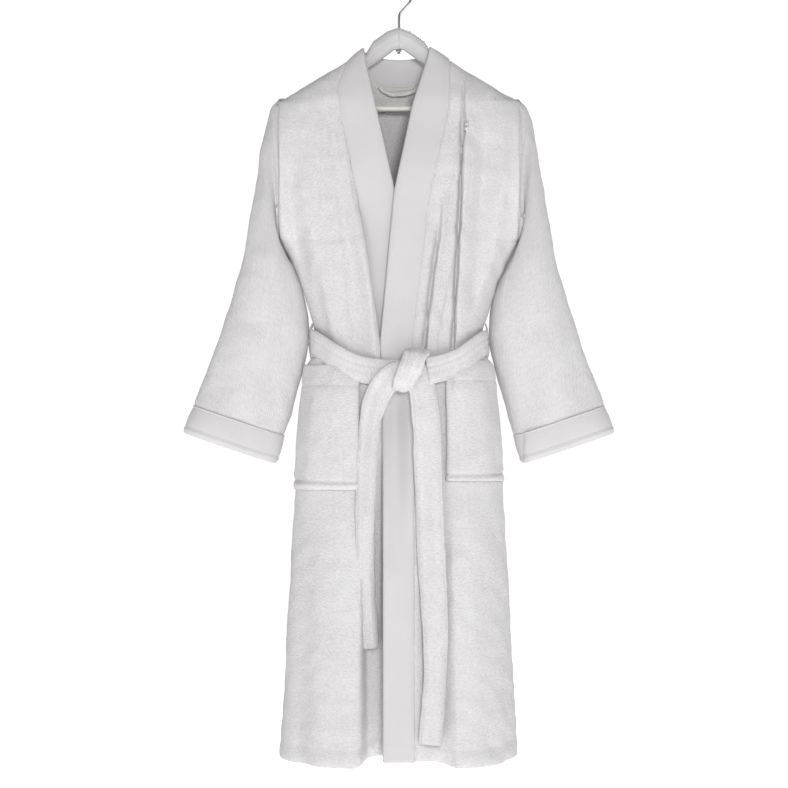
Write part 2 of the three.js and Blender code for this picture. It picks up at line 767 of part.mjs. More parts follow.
add('hook', hook(), 'chrome');
add('hook_washer', hookWasher(), 'chrome');
add('trouser_bar', trouserBar(), 'bar_white');
add('back_panel', backPanel(), 'terry');
add('back_neck_band', backNeckBand(), 'velour');
add('belt_waist', beltWaist(), 'terry');
add('belt_knot', beltKnot(), 'terry');
add('hanging_loop', hangingLoop(), 'tape');
add('neck_label', neckLabel(), 'tape');
for (const [word, side] of [['right', -1], ['left', 1]]) {
  add(`${word}_hanger_half`, hangerHalf(side), 'hanger_white');
  add(`${word}_front_bodice`, frontBodice(side), 'terry');
  add(`${word}_front_skirt`, frontSkirt(side), 'terry');
  add(`${word}_collar_band`, collarBand(side), 'velour');
  add(`${word}_skirt_band`, skirtBand(side), 'velour');
  add(`${word}_sleeve`, sleeve(side), 'terry');
  add(`${word}_cuff`, cuff(side), 'velour');
  add(`${word}_pocket`, pocket(side), 'terry');
  add(`${word}_belt_loop`, beltLoop(side), 'terry');
  add(`${word}_belt_tail`, beltTail(side), 'terry');
}

export default robe;
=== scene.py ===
import math

import bmesh
import bpy
import numpy as np
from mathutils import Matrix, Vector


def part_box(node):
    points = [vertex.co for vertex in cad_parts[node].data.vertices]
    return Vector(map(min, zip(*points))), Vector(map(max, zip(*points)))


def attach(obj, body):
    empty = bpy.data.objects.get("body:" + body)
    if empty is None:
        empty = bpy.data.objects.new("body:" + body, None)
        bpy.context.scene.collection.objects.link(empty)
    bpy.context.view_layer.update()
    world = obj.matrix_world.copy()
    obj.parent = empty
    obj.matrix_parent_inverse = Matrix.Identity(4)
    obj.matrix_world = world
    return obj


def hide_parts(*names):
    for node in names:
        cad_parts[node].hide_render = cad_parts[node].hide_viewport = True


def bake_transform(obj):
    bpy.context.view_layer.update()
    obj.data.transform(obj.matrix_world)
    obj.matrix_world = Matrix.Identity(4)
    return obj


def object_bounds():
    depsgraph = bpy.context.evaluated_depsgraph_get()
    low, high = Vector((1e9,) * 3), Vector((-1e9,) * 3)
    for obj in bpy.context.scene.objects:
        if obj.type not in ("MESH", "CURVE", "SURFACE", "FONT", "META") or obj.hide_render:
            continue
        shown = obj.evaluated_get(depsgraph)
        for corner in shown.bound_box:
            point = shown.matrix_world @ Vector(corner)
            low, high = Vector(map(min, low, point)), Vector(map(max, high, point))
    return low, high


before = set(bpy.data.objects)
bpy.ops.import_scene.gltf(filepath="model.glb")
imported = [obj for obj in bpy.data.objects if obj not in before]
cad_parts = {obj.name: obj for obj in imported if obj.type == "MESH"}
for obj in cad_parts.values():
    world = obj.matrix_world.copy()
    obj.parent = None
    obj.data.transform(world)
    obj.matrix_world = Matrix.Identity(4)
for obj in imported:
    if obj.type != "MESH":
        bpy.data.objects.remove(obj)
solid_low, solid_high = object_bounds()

# ---------------------------------------------------------------- Camera, floor and light
# The robe hangs at eye height in front of a white wall, seen straight on from about
# three metres. The light is wide and soft, a little stronger on the wearer's left.
camera_data = bpy.data.cameras.new("camera")
camera_data.sensor_width = 36
camera_data.lens = 84.7
camera = bpy.data.objects.new("camera", camera_data)
camera.location = (-0.0085, -3.17, -0.699)
camera.rotation_euler = (math.radians(90), 0, 0)
bpy.context.scene.collection.objects.link(camera)
bpy.context.scene.camera = camera
bpy.context.scene.view_settings.view_transform = "Standard"


def plain_paint(name, colour, roughness, glow=0.0):
    """A matt painted surface with faint unevenness."""
    paint = bpy.data.materials.new(name)
    paint.use_nodes = True
    tree = paint.node_tree
    shader = tree.nodes["Principled BSDF"]
    shader.inputs["Roughness"].default_value = roughness
    shader.inputs["Emission Color"].default_value = (1, 1, 1, 1)
    shader.inputs["Emission Strength"].default_value = glow
    place = tree.nodes.new("ShaderNodeTexCoord")
    mottle = tree.nodes.new("ShaderNodeTexNoise")
    mottle.inputs["Scale"].default_value = 3
    tint = tree.nodes.new("ShaderNodeMix")
    tint.data_type = "RGBA"
    tint.inputs[6].default_value = (*[c * 0.97 for c in colour], 1)
    tint.inputs[7].default_value = (*colour, 1)
    tree.links.new(place.outputs["Object"], mottle.inputs["Vector"])
    tree.links.new(mottle.outputs["Fac"], tint.inputs[0])
    tree.links.new(tint.outputs[2], shader.inputs["Base Color"])
    return paint


floor_height = solid_low.z - 0.35
bpy.ops.object.select_all(action="DESELECT")
bpy.ops.mesh.primitive_plane_add(size=16, location=(0, 2, floor_height))
floor = bpy.context.object
floor.name = "floor"
floor.data.materials.append(plain_paint("floor_paint", (0.93, 0.93, 0.93), 0.8, glow=0.85))

world = bpy.data.worlds.new("studio")
bpy.context.scene.world = world
world.use_nodes = True
sky = world.node_tree
even = sky.nodes["Background"]
even.inputs["Color"].default_value = (1.0, 0.995, 0.985, 1)
even.inputs["Strength"].default_value = 0.26
wall = sky.nodes.new("ShaderNodeBackground")
wall.inputs["Color"].default_value = (1, 1, 1, 1)
wall.inputs["Strength"].default_value = 1.05
seen = sky.nodes.new("ShaderNodeLightPath")
either = sky.nodes.new("ShaderNodeMixShader")
sky.links.new(seen.outputs["Is Camera Ray"], either.inputs[0])
sky.links.new(even.outputs[0], either.inputs[1])
sky.links.new(wall.outputs[0], either.inputs[2])
sky.links.new(either.outputs[0], sky.nodes["World Output"].inputs["Surface"])

for name, spot, size, power in (
    ("window_light", (0.4, -4.2, -0.1), 0.9, 93),
    ("fill_light", (-2.4, -2.8, -0.2), 1.6, 7),
    ("back_light", (0.9, 3.4, 0.9), 1.6, 78),
):
    lamp_data = bpy.data.lights.new(name, "AREA")
    lamp_data.size = size
    lamp_data.energy = power
    lamp = bpy.data.objects.new(name, lamp_data)
    lamp.location = spot
    aim = np.array([0, 0, -0.65]) - np.array(spot)
    lamp.rotation_euler = (
        math.atan2(math.hypot(aim[0], aim[1]), -aim[2]), 0, math.atan2(-aim[0], aim[1]))
    bpy.context.scene.collection.objects.link(lamp)

# ---------------------------------------------------------------- Hook and its washer
# A bent wire hook, bright chromed steel, screwed into the top of the hanger through a
# small turned washer. Both keep their solids and take a polished finish.


def new_group(name, inputs, outputs):
    """An empty node group with the sockets that are named."""
    group = bpy.data.node_groups.new(name, "ShaderNodeTree")
    for label, kind, value in inputs:
        made = group.interface.new_socket(label, in_out="INPUT", socket_type=kind)
        if value is not None:
            made.default_value = value
    for label, kind in outputs:
        group.interface.new_socket(label, in_out="OUTPUT", socket_type=kind)
    return group, group.nodes.new("NodeGroupInput"), group.nodes.new("NodeGroupOutput")


def wear_group():
    """Fine handling marks: a mask of small scuffs and a height for them."""
    group, given, made = new_group(
        "handling_marks",
        [("Vector", "NodeSocketVector", None), ("Size", "NodeSocketFloat", 60.0)],
        [("Scuffs", "NodeSocketFloat"), ("Height", "NodeSocketFloat")])
    broad = group.nodes.new("ShaderNodeTexNoise")
    broad.inputs["Detail"].default_value = 6
    fine = group.nodes.new("ShaderNodeTexNoise")
    fine.inputs["Detail"].default_value = 3
    times = group.nodes.new("ShaderNodeMath")
    times.operation = "MULTIPLY"
    times.inputs[1].default_value = 9
    span = group.nodes.new("ShaderNodeMapRange")
    span.inputs["From Min"].default_value = 0.42
    span.inputs["From Max"].default_value = 0.72
    group.links.new(given.outputs["Vector"], broad.inputs["Vector"])
    group.links.new(given.outputs["Vector"], fine.inputs["Vector"])
    group.links.new(given.outputs["Size"], broad.inputs["Scale"])
    group.links.new(given.outputs["Size"], times.inputs[0])
    group.links.new(times.outputs[0], fine.inputs["Scale"])
    group.links.new(broad.outputs["Fac"], span.inputs["Value"])
    group.links.new(span.outputs["Result"], made.inputs["Scuffs"])
    group.links.new(fine.outputs["Fac"], made.inputs["Height"])
    return group


handling = wear_group()


def hard_finish(name, clean, worn, rough, rough_worn, metallic, size, bump, coat=0.0):
    """Lacquer, plastic or metal whose colour and gloss change a little where it is handled."""
    finish = bpy.data.materials.new(name)
    finish.use_nodes = True
    tree = finish.node_tree
    shader = tree.nodes["Principled BSDF"]
    shader.inputs["Metallic"].default_value = metallic
    shader.inputs["Coat Weight"].default_value = coat
    shader.inputs["Coat Roughness"].default_value = 0.15
    place = tree.nodes.new("ShaderNodeTexCoord")
    marks = tree.nodes.new("ShaderNodeGroup")
    marks.node_tree = handling
    marks.inputs["Size"].default_value = size
    tint = tree.nodes.new("ShaderNodeMix")
    tint.data_type = "RGBA"
    tint.inputs[6].default_value = (*clean, 1)
    tint.inputs[7].default_value = (*worn, 1)
    gloss = tree.nodes.new("ShaderNodeMapRange")
    gloss.inputs["To Min"].default_value = rough
    gloss.inputs["To Max"].default_value = rough_worn
    dents = tree.nodes.new("ShaderNodeBump")
    dents.inputs["Strength"].default_value = bump
    dents.inputs["Distance"].default_value = 0.0004
    tree.links.new(place.outputs["Object"], marks.inputs["Vector"])
    tree.links.new(marks.outputs["Scuffs"], tint.inputs[0])
    tree.links.new(marks.outputs["Scuffs"], gloss.inputs["Value"])
    tree.links.new(marks.outputs["Height"], dents.inputs["Height"])
    tree.links.new(tint.outputs[2], shader.inputs["Base Color"])
    tree.links.new(gloss.outputs["Result"], shader.inputs["Roughness"])
    tree.links.new(dents.outputs["Normal"], shader.inputs["Normal"])
    return finish


def refinish(node, finish):
    """Gives a carried-over solid its finish in every one of its slots."""
    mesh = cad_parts[node].data
    if not mesh.materials:
        mesh.materials.append(finish)
    for i in range(len(mesh.materials)):
        mesh.materials[i] = finish


chrome = hard_finish("chrome", (0.60, 0.60, 0.61), (0.42, 0.42, 0.43), 0.16, 0.34, 1.0, 90, 0.10)
refinish("hook", chrome)
refinish("hook_washer", chrome)

# ---------------------------------------------------------------- Hanger
# Two shaped wooden shoulders, glued in the middle and sprayed satin white. The neck of
# the hanger is a rounded dome with a notch below it. The solids carry over.
white_lacquer = hard_finish(
    "white_lacquer", (0.50, 0.495, 0.50), (0.46, 0.45, 0.445), 0.42, 0.56, 0.0, 14, 0.12, coat=0.08)
refinish("right_hanger_half", white_lacquer)
refinish("left_hanger_half", white_lacquer)

# ---------------------------------------------------------------- Trouser bar
# A round bar of cream painted beech across the inside of the hanger.
cream_paint = hard_finish(
    "cream_paint", (0.80, 0.775, 0.72), (0.72, 0.69, 0.63), 0.35, 0.55, 0.0, 30, 0.15)
refinish("trouser_bar", cream_paint)

# ---------------------------------------------------------------- Back
# One wide panel of white terry from the neck and shoulder seams to the hem. It hangs
# from the hanger in soft upright folds that open towards the hem.
cloth_thickness = 0.004
shoulder_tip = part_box("back_panel")[1].x
hem_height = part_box("back_panel")[0].z
shoulder_height, underarm_height = -0.200, -0.440
neck_point_x, neck_point_height = 0.086, -0.128
back_neck_height = -0.171
armhole_depth, back_share, fullness = 0.045, 0.85, 2.5


def softly(z, drops, values, reach=0.012):
    """A profile read at a height, with its corners eased over a short reach."""
    z = np.asarray(z, float)
    steps = [-1, -0.5, 0, 0.5, 1]
    return sum(np.interp(-(z + reach * s), drops, values) for s in steps) / len(steps)


def half_width(z):
    return softly(
        z,
        [0.110, 0.128, 0.200, 0.440, 0.475, 0.530, 0.579, 0.605, 0.625, 0.652, 0.760, 1.316],
        [0.064, 0.086, 0.205, 0.205, 0.184, 0.162, 0.147, 0.140, 0.141, 0.160, 0.172, 0.203], 0.004)


def chest(z):
    """How far the front stands out from the line of the side seams."""
    return softly(z, [0.128, 0.200, 0.320, 0.612, 1.316], [0.032, 0.0512, 0.064, 0.077, 0.116])


def armhole_edge(z):
    part = (np.asarray(z) - (shoulder_height + underarm_height) / 2) / (
        (shoulder_height - underarm_height) / 2)
    return armhole_depth * np.sqrt(np.clip(1 - part**2, 0, 1))


def body_y(x, z, side):
    """Depth of the robe's body at a place seen from the front. Side is -1 in front, 1 behind."""
    share = 1.0 if side < 0 else back_share
    rim = armhole_edge(z) * (1.0 if side < 0 else 0.9)
    part = np.clip(np.abs(x) / half_width(z), 0, 1)
    round_form = chest(z) * share * (1 - part**fullness) ** (1 / fullness)
    return side * (rim * part**8 + np.maximum(round_form, 0.001))


def smooth(value, low, high):
    t = np.clip((value - low) / (high - low), 0, 1)
    return t * t * (3 - 2 * t)


def lumps(points, size, seed, waves=14):
    """Gentle unevenness with bumps of about one size, the same on every run."""
    draw = np.random.default_rng(seed)
    out = np.zeros(points.shape[:-1])
    for _ in range(waves):
        way = draw.normal(size=3)
        way *= draw.uniform(0.6, 1.5) * 2 * math.pi / (np.linalg.norm(way) * size * 2)
        out += np.sin(points @ way + draw.uniform(0, 2 * math.pi))
    return out / math.sqrt(waves)


def crease(x, z, path, height, spread):
    """A soft ridge along a path of (x, z, share). Spread is its reach to the wearer's right
    and to the wearer's left when the path runs down; a short reach makes a sharp edge."""
    best = np.full(np.shape(x), 1e9)
    out = np.zeros(np.shape(x))
    for (ax, az, a), (bx, bz, b) in zip(path, path[1:]):
        dx, dz = bx - ax, bz - az
        t = np.clip(((x - ax) * dx + (z - az) * dz) / (dx * dx + dz * dz), 0, 1)
        px, pz = x - ax - dx * t, z - az - dz * t
        far = np.hypot(px, pz)
        reach = np.where(dx * pz - dz * px > 0, spread[1], spread[0])
        near = far < best
        out = np.where(near, (a + (b - a) * t) * np.exp(-((far / reach) ** 2)), out)
        best = np.where(near, far, best)
    return height * out


def unit(v):
    return v / np.maximum(np.linalg.norm(v, axis=-1, keepdims=True), 1e-12)


def net_normals(net, away, around=False):
    """The right side's normals of a net of points. Away points roughly to the right side."""
    if around:
        across = np.roll(net, -1, axis=1) - np.roll(net, 1, axis=1)
    else:
        across = np.gradient(net, axis=1)
    normal = unit(np.cross(across, np.gradient(net, axis=0)))
    flip = float((normal * away).sum()) < 0
    return (-normal if flip else normal), flip


def made_piece(name, points, faces, flats, material):
    """A piece from its points and faces. Flats are its places on the UV map, in metres."""
    mesh = bpy.data.meshes.new(name)
    mesh.from_pydata(points.tolist(), [], faces)
    chart = mesh.uv_layers.new(name="UVMap")
    corners = np.zeros(len(mesh.loops), np.int32)
    mesh.loops.foreach_get("vertex_index", corners)
    chart.data.foreach_set("uv", flats[corners].astype(np.float32).ravel())
    mesh.materials.append(material)
    mesh.polygons.foreach_set("use_smooth", [True] * len(mesh.polygons))
    mesh.update()
    made = bpy.data.objects.new(name, mesh)
    bpy.context.scene.collection.objects.link(made)
    return made


def cloth(name, net, away, material, thickness=cloth_thickness, around=False):
    """A sheet with a right side, a wrong side and softly rolled edges, as a closed mesh.
    Its UV map is in metres of cloth, across and down."""
    rows, cols = net.shape[:2]
    normal, flip = net_normals(net, away, around)
    back = net - normal * thickness
    half = net - normal * thickness / 2
    bulge = thickness * 0.45
    top = half[0] + unit(net[0] - net[1]) * bulge
    bottom = half[-1] + unit(net[-1] - net[-2]) * bulge
    parts = [net.reshape(-1, 3), back.reshape(-1, 3), top, bottom]
    if not around:
        parts += [half[:, 0] + unit(net[:, 0] - net[:, 1]) * bulge,
                  half[:, -1] + unit(net[:, -1] - net[:, -2]) * bulge]
    points = np.concatenate(parts)
    n = rows * cols

    def at(i, j, layer=0):
        return layer * n + i * cols + (j % cols)

    first_top, first_bottom = 2 * n, 2 * n + cols
    first_left, first_right = 2 * n + 2 * cols, 2 * n + 2 * cols + rows
    faces = []
    for i in range(rows - 1):
        for j in range(cols if around else cols - 1):
            quad = [at(i, j), at(i, j + 1), at(i + 1, j + 1), at(i + 1, j)]
            faces.append(quad)
            faces.append([v + n for v in reversed(quad)])
    for j in range(cols if around else cols - 1):
        k = (j + 1) % cols
        faces += [
            [at(0, k), at(0, j), first_top + j, first_top + k],
            [first_top + k, first_top + j, at(0, j, 1), at(0, k, 1)],
            [at(rows - 1, j), at(rows - 1, k), first_bottom + k, first_bottom + j],
            [first_bottom + j, first_bottom + k, at(rows - 1, k, 1), at(rows - 1, j, 1)]]
    if not around:
        for i in range(rows - 1):
            faces += [
                [at(i, 0), at(i + 1, 0), first_left + i + 1, first_left + i],
                [first_left + i, first_left + i + 1, at(i + 1, 0, 1), at(i, 0, 1)],
                [at(i + 1, cols - 1), at(i, cols - 1), first_right + i, first_right + i + 1],
                [first_right + i + 1, first_right + i, at(i, cols - 1, 1),
                 at(i + 1, cols - 1, 1)]]
        last = rows - 1
        faces += [
            [at(0, 0), first_left, at(0, 0, 1), first_top],
            [at(0, cols - 1), first_top + cols - 1, at(0, cols - 1, 1), first_right],
            [at(last, 0), first_bottom, at(last, 0, 1), first_left + last],
            [at(last, cols - 1), first_right + last, at(last, cols - 1, 1),
             first_bottom + cols - 1]]
    # Seen with rows down and columns across, a quad turns the same way as the cross product
    # of across and down, so it is turned over exactly when the normals were not.
    if flip:
        faces = [f[::-1] for f in faces]
    across = np.cumsum(np.linalg.norm(np.diff(net, axis=1, prepend=net[:, :1]), axis=2), axis=1)
    down = np.cumsum(np.linalg.norm(np.diff(net, axis=0, prepend=net[:1]), axis=2), axis=0)
    across -= across[:, -1:] / 2
    flat = np.stack([across, -down], axis=-1)
    flats = [flat.reshape(-1, 2)] * 2 + [flat[0], flat[-1]]
    if not around:
        flats += [flat[:, 0], flat[:, -1]]
    return made_piece(name, points, faces, np.concatenate(flats), material)


def pile_group():
    """Looped or cut pile: short dashes that lie across the cloth, with fine loops in them."""
    group, given, made = new_group(
        "cloth_pile",
        [("Vector", "NodeSocketVector", None), ("Across", "NodeSocketFloat", 190.0),
         ("Down", "NodeSocketFloat", 520.0), ("Loops", "NodeSocketFloat", 900.0)],
        [("Height", "NodeSocketFloat"), ("Tone", "NodeSocketFloat"),
         ("Patches", "NodeSocketFloat")])
    stretch = group.nodes.new("ShaderNodeCombineXYZ")
    sized = group.nodes.new("ShaderNodeVectorMath")
    sized.operation = "MULTIPLY"
    dashes = group.nodes.new("ShaderNodeTexNoise")
    dashes.inputs["Scale"].default_value = 1
    dashes.inputs["Detail"].default_value = 4
    dashes.inputs["Roughness"].default_value = 0.62
    loops = group.nodes.new("ShaderNodeTexVoronoi")
    loops.inputs["Randomness"].default_value = 0.9
    patches = group.nodes.new("ShaderNodeTexNoise")
    patches.inputs["Scale"].default_value = 16
    patches.inputs["Detail"].default_value = 3
    both = group.nodes.new("ShaderNodeMix")
    both.inputs[0].default_value = 0.4
    span = group.nodes.new("ShaderNodeMapRange")
    span.inputs["From Min"].default_value = 0.34
    span.inputs["From Max"].default_value = 0.66
    link = group.links.new
    link(given.outputs["Across"], stretch.inputs[0])
    link(given.outputs["Down"], stretch.inputs[1])
    link(given.outputs["Vector"], sized.inputs[0])
    link(stretch.outputs[0], sized.inputs[1])
    link(sized.outputs[0], dashes.inputs["Vector"])
    link(given.outputs["Vector"], loops.inputs["Vector"])
    link(given.outputs["Loops"], loops.inputs["Scale"])
    link(given.outputs["Vector"], patches.inputs["Vector"])
    link(dashes.outputs["Fac"], both.inputs[2])
    link(loops.outputs["Distance"], both.inputs[3])
    link(both.outputs[0], made.inputs["Height"])
    # The tone follows the same dashes as the height, so it is lowest in the gaps and paints their
    # shade.
    link(dashes.outputs["Fac"], span.inputs["Value"])
    link(span.outputs["Result"], made.inputs["Tone"])
    link(patches.outputs["Fac"], made.inputs["Patches"])
    return group


pile = pile_group()


def soft_finish(name, light, deep, across, down, loops, bump, depth, sheen):
    """White cotton pile. Light and deep are the colours of the tips and of the gaps; the darker
    colour of the gaps is painted shade between the loops.
    """
    finish = bpy.data.materials.new(name)
    finish.use_nodes = True
    tree = finish.node_tree
    shader = tree.nodes["Principled BSDF"]
    shader.inputs["Sheen Weight"].default_value = sheen
    shader.inputs["Sheen Roughness"].default_value = 0.6
    shader.inputs["Specular IOR Level"].default_value = 0.12
    place = tree.nodes.new("ShaderNodeUVMap")
    place.uv_map = "UVMap"
    knit = tree.nodes.new("ShaderNodeGroup")
    knit.node_tree = pile
    for label, value in (("Across", across), ("Down", down), ("Loops", loops)):
        knit.inputs[label].default_value = value
    # Painted shade: the colour falls to the deep one in the low gaps between the loops.
    tint = tree.nodes.new("ShaderNodeMix")
    tint.data_type = "RGBA"
    tint.inputs[6].default_value = (*deep, 1)
    tint.inputs[7].default_value = (*light, 1)
    shade = tree.nodes.new("ShaderNodeMix")
    shade.data_type = "RGBA"
    shade.blend_type = "MULTIPLY"
    shade.inputs[0].default_value = 1
    wash = tree.nodes.new("ShaderNodeValToRGB")
    wash.color_ramp.elements[0].position = 0.3
    wash.color_ramp.elements[0].color = (0.965, 0.96, 0.955, 1)
    wash.color_ramp.elements[1].position = 0.7
    wash.color_ramp.elements[1].color = (1, 1, 1, 1)
    rough = tree.nodes.new("ShaderNodeMapRange")
    rough.inputs["To Min"].default_value = 0.98
    rough.inputs["To Max"].default_value = 0.86
    raised = tree.nodes.new("ShaderNodeBump")
    raised.inputs["Strength"].default_value = bump
    raised.inputs["Distance"].default_value = depth
    link = tree.links.new
    link(place.outputs[0], knit.inputs["Vector"])
    link(knit.outputs["Tone"], tint.inputs[0])
    link(knit.outputs["Patches"], wash.inputs[0])
    link(tint.outputs[2], shade.inputs[6])
    link(wash.outputs[0], shade.inputs[7])
    link(shade.outputs[2], shader.inputs["Base Color"])
    link(knit.outputs["Tone"], rough.inputs["Value"])
    link(rough.outputs["Result"], shader.inputs["Roughness"])
    link(knit.outputs["Height"], raised.inputs["Height"])
    link(raised.outputs["Normal"], shader.inputs["Normal"])
    return finish


# The second colour of each pile is the painted shade in its gaps.
terry = soft_finish(
    "terry", (0.745, 0.735, 0.74), (0.60, 0.59, 0.595), 150, 430, 700, 0.9, 0.0024, 0.2)
thread = soft_finish(
    "thread", (0.76, 0.755, 0.745), (0.62, 0.61, 0.60), 2500, 900, 2600, 0.5, 0.0002, 0.1)


def stitches(line, normal, pitch=0.0046, length=0.0034, radius=0.0005):
    """A run of sewing stitches along a line on the cloth. Each is a small bowed thread."""
    steps = np.linalg.norm(np.diff(line, axis=0), axis=1)
    run = np.concatenate([[0], np.cumsum(steps)])
    count = max(int(run[-1] / pitch), 1)
    middles = (np.arange(count) + 0.5) * run[-1] / count
    ends = [np.stack([np.interp(middles + o * length, run, line[:, k]) for k in range(3)], 1)
            for o in (-0.5, 0.5)]
    up = unit(np.stack([np.interp(middles, run, normal[:, k]) for k in range(3)], 1))
    along = unit(ends[1] - ends[0])
    side = unit(np.cross(along, up))
    middle = (ends[0] + ends[1]) / 2
    points, faces = [], []
    for c in range(count):
        base = len(points)
        for spot, lift, wide in (
                (ends[0][c], -0.6, 0.7), (middle[c], 0.7, 1.0), (ends[1][c], -0.6, 0.7)):
            for a, b in ((1, 0), (0, 1), (-1, 0), (0, -1)):
                points.append(
                    spot + up[c] * radius * (lift + b * wide) + side[c] * radius * a * wide)
        for ring in (0, 4):
            for k in range(4):
                m = (k + 1) % 4
                near, far = base + ring, base + ring + 4
                faces.append([near + k, near + m, far + m, far + k])
        faces.append([base + 3, base + 2, base + 1, base])
        faces.append([base + 8, base + 9, base + 10, base + 11])
    return np.array(points), faces


def sew(piece, runs):
    """Adds runs of stitches to a piece's own mesh, so that they go wherever the cloth goes."""
    points, faces = [], []
    for line, normal in runs:
        p, f = stitches(line, normal)
        faces += [[v + sum(len(q) for q in points) for v in one] for one in f]
        points.append(p)
    added = bpy.data.meshes.new("stitches")
    added.from_pydata(np.concatenate(points).tolist(), [], faces)
    added.uv_layers.new(name="UVMap")
    added.materials.append(piece.data.materials[0])
    added.materials.append(thread)
    added.polygons.foreach_set("material_index", [1] * len(added.polygons))
    added.polygons.foreach_set("use_smooth", [True] * len(added.polygons))
    whole = bmesh.new()
    whole.from_mesh(added)
    bmesh.ops.recalc_face_normals(whole, faces=whole.faces)
    whole.from_mesh(piece.data)
    piece.data.materials.append(thread)
    whole.to_mesh(piece.data)
    whole.free()
    bpy.data.meshes.remove(added)


def row_line(net, normal, inset, from_end=True):
    """The line across a net that stays one distance from its bottom or its top edge."""
    if from_end:
        net, normal = net[::-1], normal[::-1]
    run = np.cumsum(np.linalg.norm(np.diff(net, axis=0, prepend=net[:1]), axis=2), axis=0)
    line, up = [], []
    for j in range(net.shape[1]):
        line.append([np.interp(inset, run[:, j], net[:, j, k]) for k in range(3)])
        up.append([np.interp(inset, run[:, j], normal[:, j, k]) for k in range(3)])
    return np.array(line), np.array(up)


def column_line(net, normal, inset, from_end=False):
    """The line down a net that stays one distance from its first or its last column."""
    return row_line(net.transpose(1, 0, 2), normal.transpose(1, 0, 2), inset, from_end)


def shoulder_top(x):
    """Height of the shoulder seam over a place across the body."""
    return neck_point_height + (shoulder_height - neck_point_height) * np.clip(
        (x - neck_point_x) / (shoulder_tip - neck_point_x), 0, 1)


back_rows, back_cols = 190, 120
turn = np.linspace(0, math.pi, back_cols)
reach = -np.sign(np.cos(turn)) * np.abs(np.cos(turn)) ** (2 / fullness)
down = np.linspace(0, 1, back_rows)
top_x = np.abs(reach) * shoulder_tip
top = np.where(
    top_x > neck_point_x, shoulder_top(top_x),
    back_neck_height + (neck_point_height - back_neck_height) * (top_x / neck_point_x) ** 2)
z = top[None, :] + (hem_height - top[None, :]) * down[:, None]
x = reach[None, :] * np.where(z > shoulder_height, shoulder_tip, half_width(z))
x = np.clip(x, -half_width(z), half_width(z))
y = body_y(x, z, 1)
net = np.stack([x, y, z], -1)
normal, _ = net_normals(net, np.array([0, 1.0, 0]))
low = smooth(-z, 0.25, 1.25)
pull = 0.011 * low * (
    np.sin(x * 44 + 0.8 + 1.2 * z) * 0.7 + np.sin(x * 71 - 0.4 - 2.0 * z) * 0.45)
left_blade = [(0.10, -0.20, 0), (0.085, -0.34, 1), (0.06, -0.60, 0.8), (0.05, -0.9, 0)]
right_blade = [(-0.11, -0.20, 0), (-0.09, -0.36, 1), (-0.05, -0.62, 0.8), (-0.055, -0.9, 0)]
blades = 0.004 * (
    crease(x, z, left_blade, 1, (0.02, 0.028)) + crease(x, z, right_blade, 1, (0.026, 0.02)))
waist_gather = 0.005 * np.exp(-(((z + 0.62) / 0.10) ** 2)) * np.sin(x * 120 + 0.6)
at_sides = smooth(1 - np.abs(reach)[None, :], 0, 0.10)
lift = (pull + blades + waist_gather) * at_sides + 0.0009 * lumps(net, 0.05, 5)
lift -= 0.0018 * np.exp(-((np.abs(x) - half_width(z)) / 0.004) ** 2)
lift += 0.0012 * np.exp(-(((z - hem_height - 0.012) / 0.012) ** 2))
back_net = net + normal * lift[..., None]
back_net[..., 1] = np.maximum(back_net[..., 1], 0.0006)
back_normal, _ = net_normals(back_net, np.array([0, 1.0, 0]))
back = cloth("back", back_net, np.array([0, 1.0, 0]), terry)
sew(back, [row_line(back_net, back_normal, 0.025)])
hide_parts("back_panel")
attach(back, "robe")

# ---------------------------------------------------------------- Front panels
# A right and a left front of terry, each hung from its shoulder seam. Soft pleats run down
# from the shoulders into the belt; below it the skirt stands out in shallow waves.
# The bodice stays with the body.


def collar_inner(z, side):
    """Where the front's free edge runs. Side is -1 for the wearer's right."""
    if side < 0:
        return softly(z, [0.110, 0.362, 0.612, 0.708, 1.316], [-0.064, -0.007, 0.026, 0.034, 0.034])
    return softly(z, [0.110, 0.210, 0.362, 0.612, 0.708, 1.316],
                  [0.056, 0.024, -0.007, -0.030, -0.025, -0.025])


def collar_seam(z, side):
    """Where the collar band is sewn to the front."""
    if side < 0:
        return softly(z, [0.128, 0.173, 0.203, 0.362, 0.612, 0.708, 1.316],
                      [-0.086, -0.103, -0.101, -0.071, -0.032, -0.024, -0.024])
    return softly(z, [0.128, 0.214, 0.362, 0.612, 0.708, 1.316],
                  [0.086, 0.084, 0.051, 0.022, 0.025, 0.025])


lap = 0.0069


def lap_lift(x, z, side):
    """The left front lies over the right one below the crossing."""
    if side < 0:
        return 0 * x
    return lap * (1 - smooth(x, 0.080, 0.146)) * (1 - smooth(z, -0.322, -0.212))


waist_height, belt_dip = -0.612, 0.052


def dipped(x, reach):
    """How far the belt's line has dipped at a place, from 0 at its reach to 1 in the middle."""
    return (1 - np.clip(np.abs(x) / reach, 0, 1) ** fullness) ** (3 / fullness)


def skirt_top(x):
    """Height of the waist join, which dips to the middle as the belt does."""
    return waist_height - 0.010 - belt_dip * dipped(x, 0.140)


def folded(x, z, folds, base=0):
    """Several creases together. Each is (path, height, spread)."""
    for path, height, spread in folds:
        base = base + crease(x, z, path, height, spread)
    return base


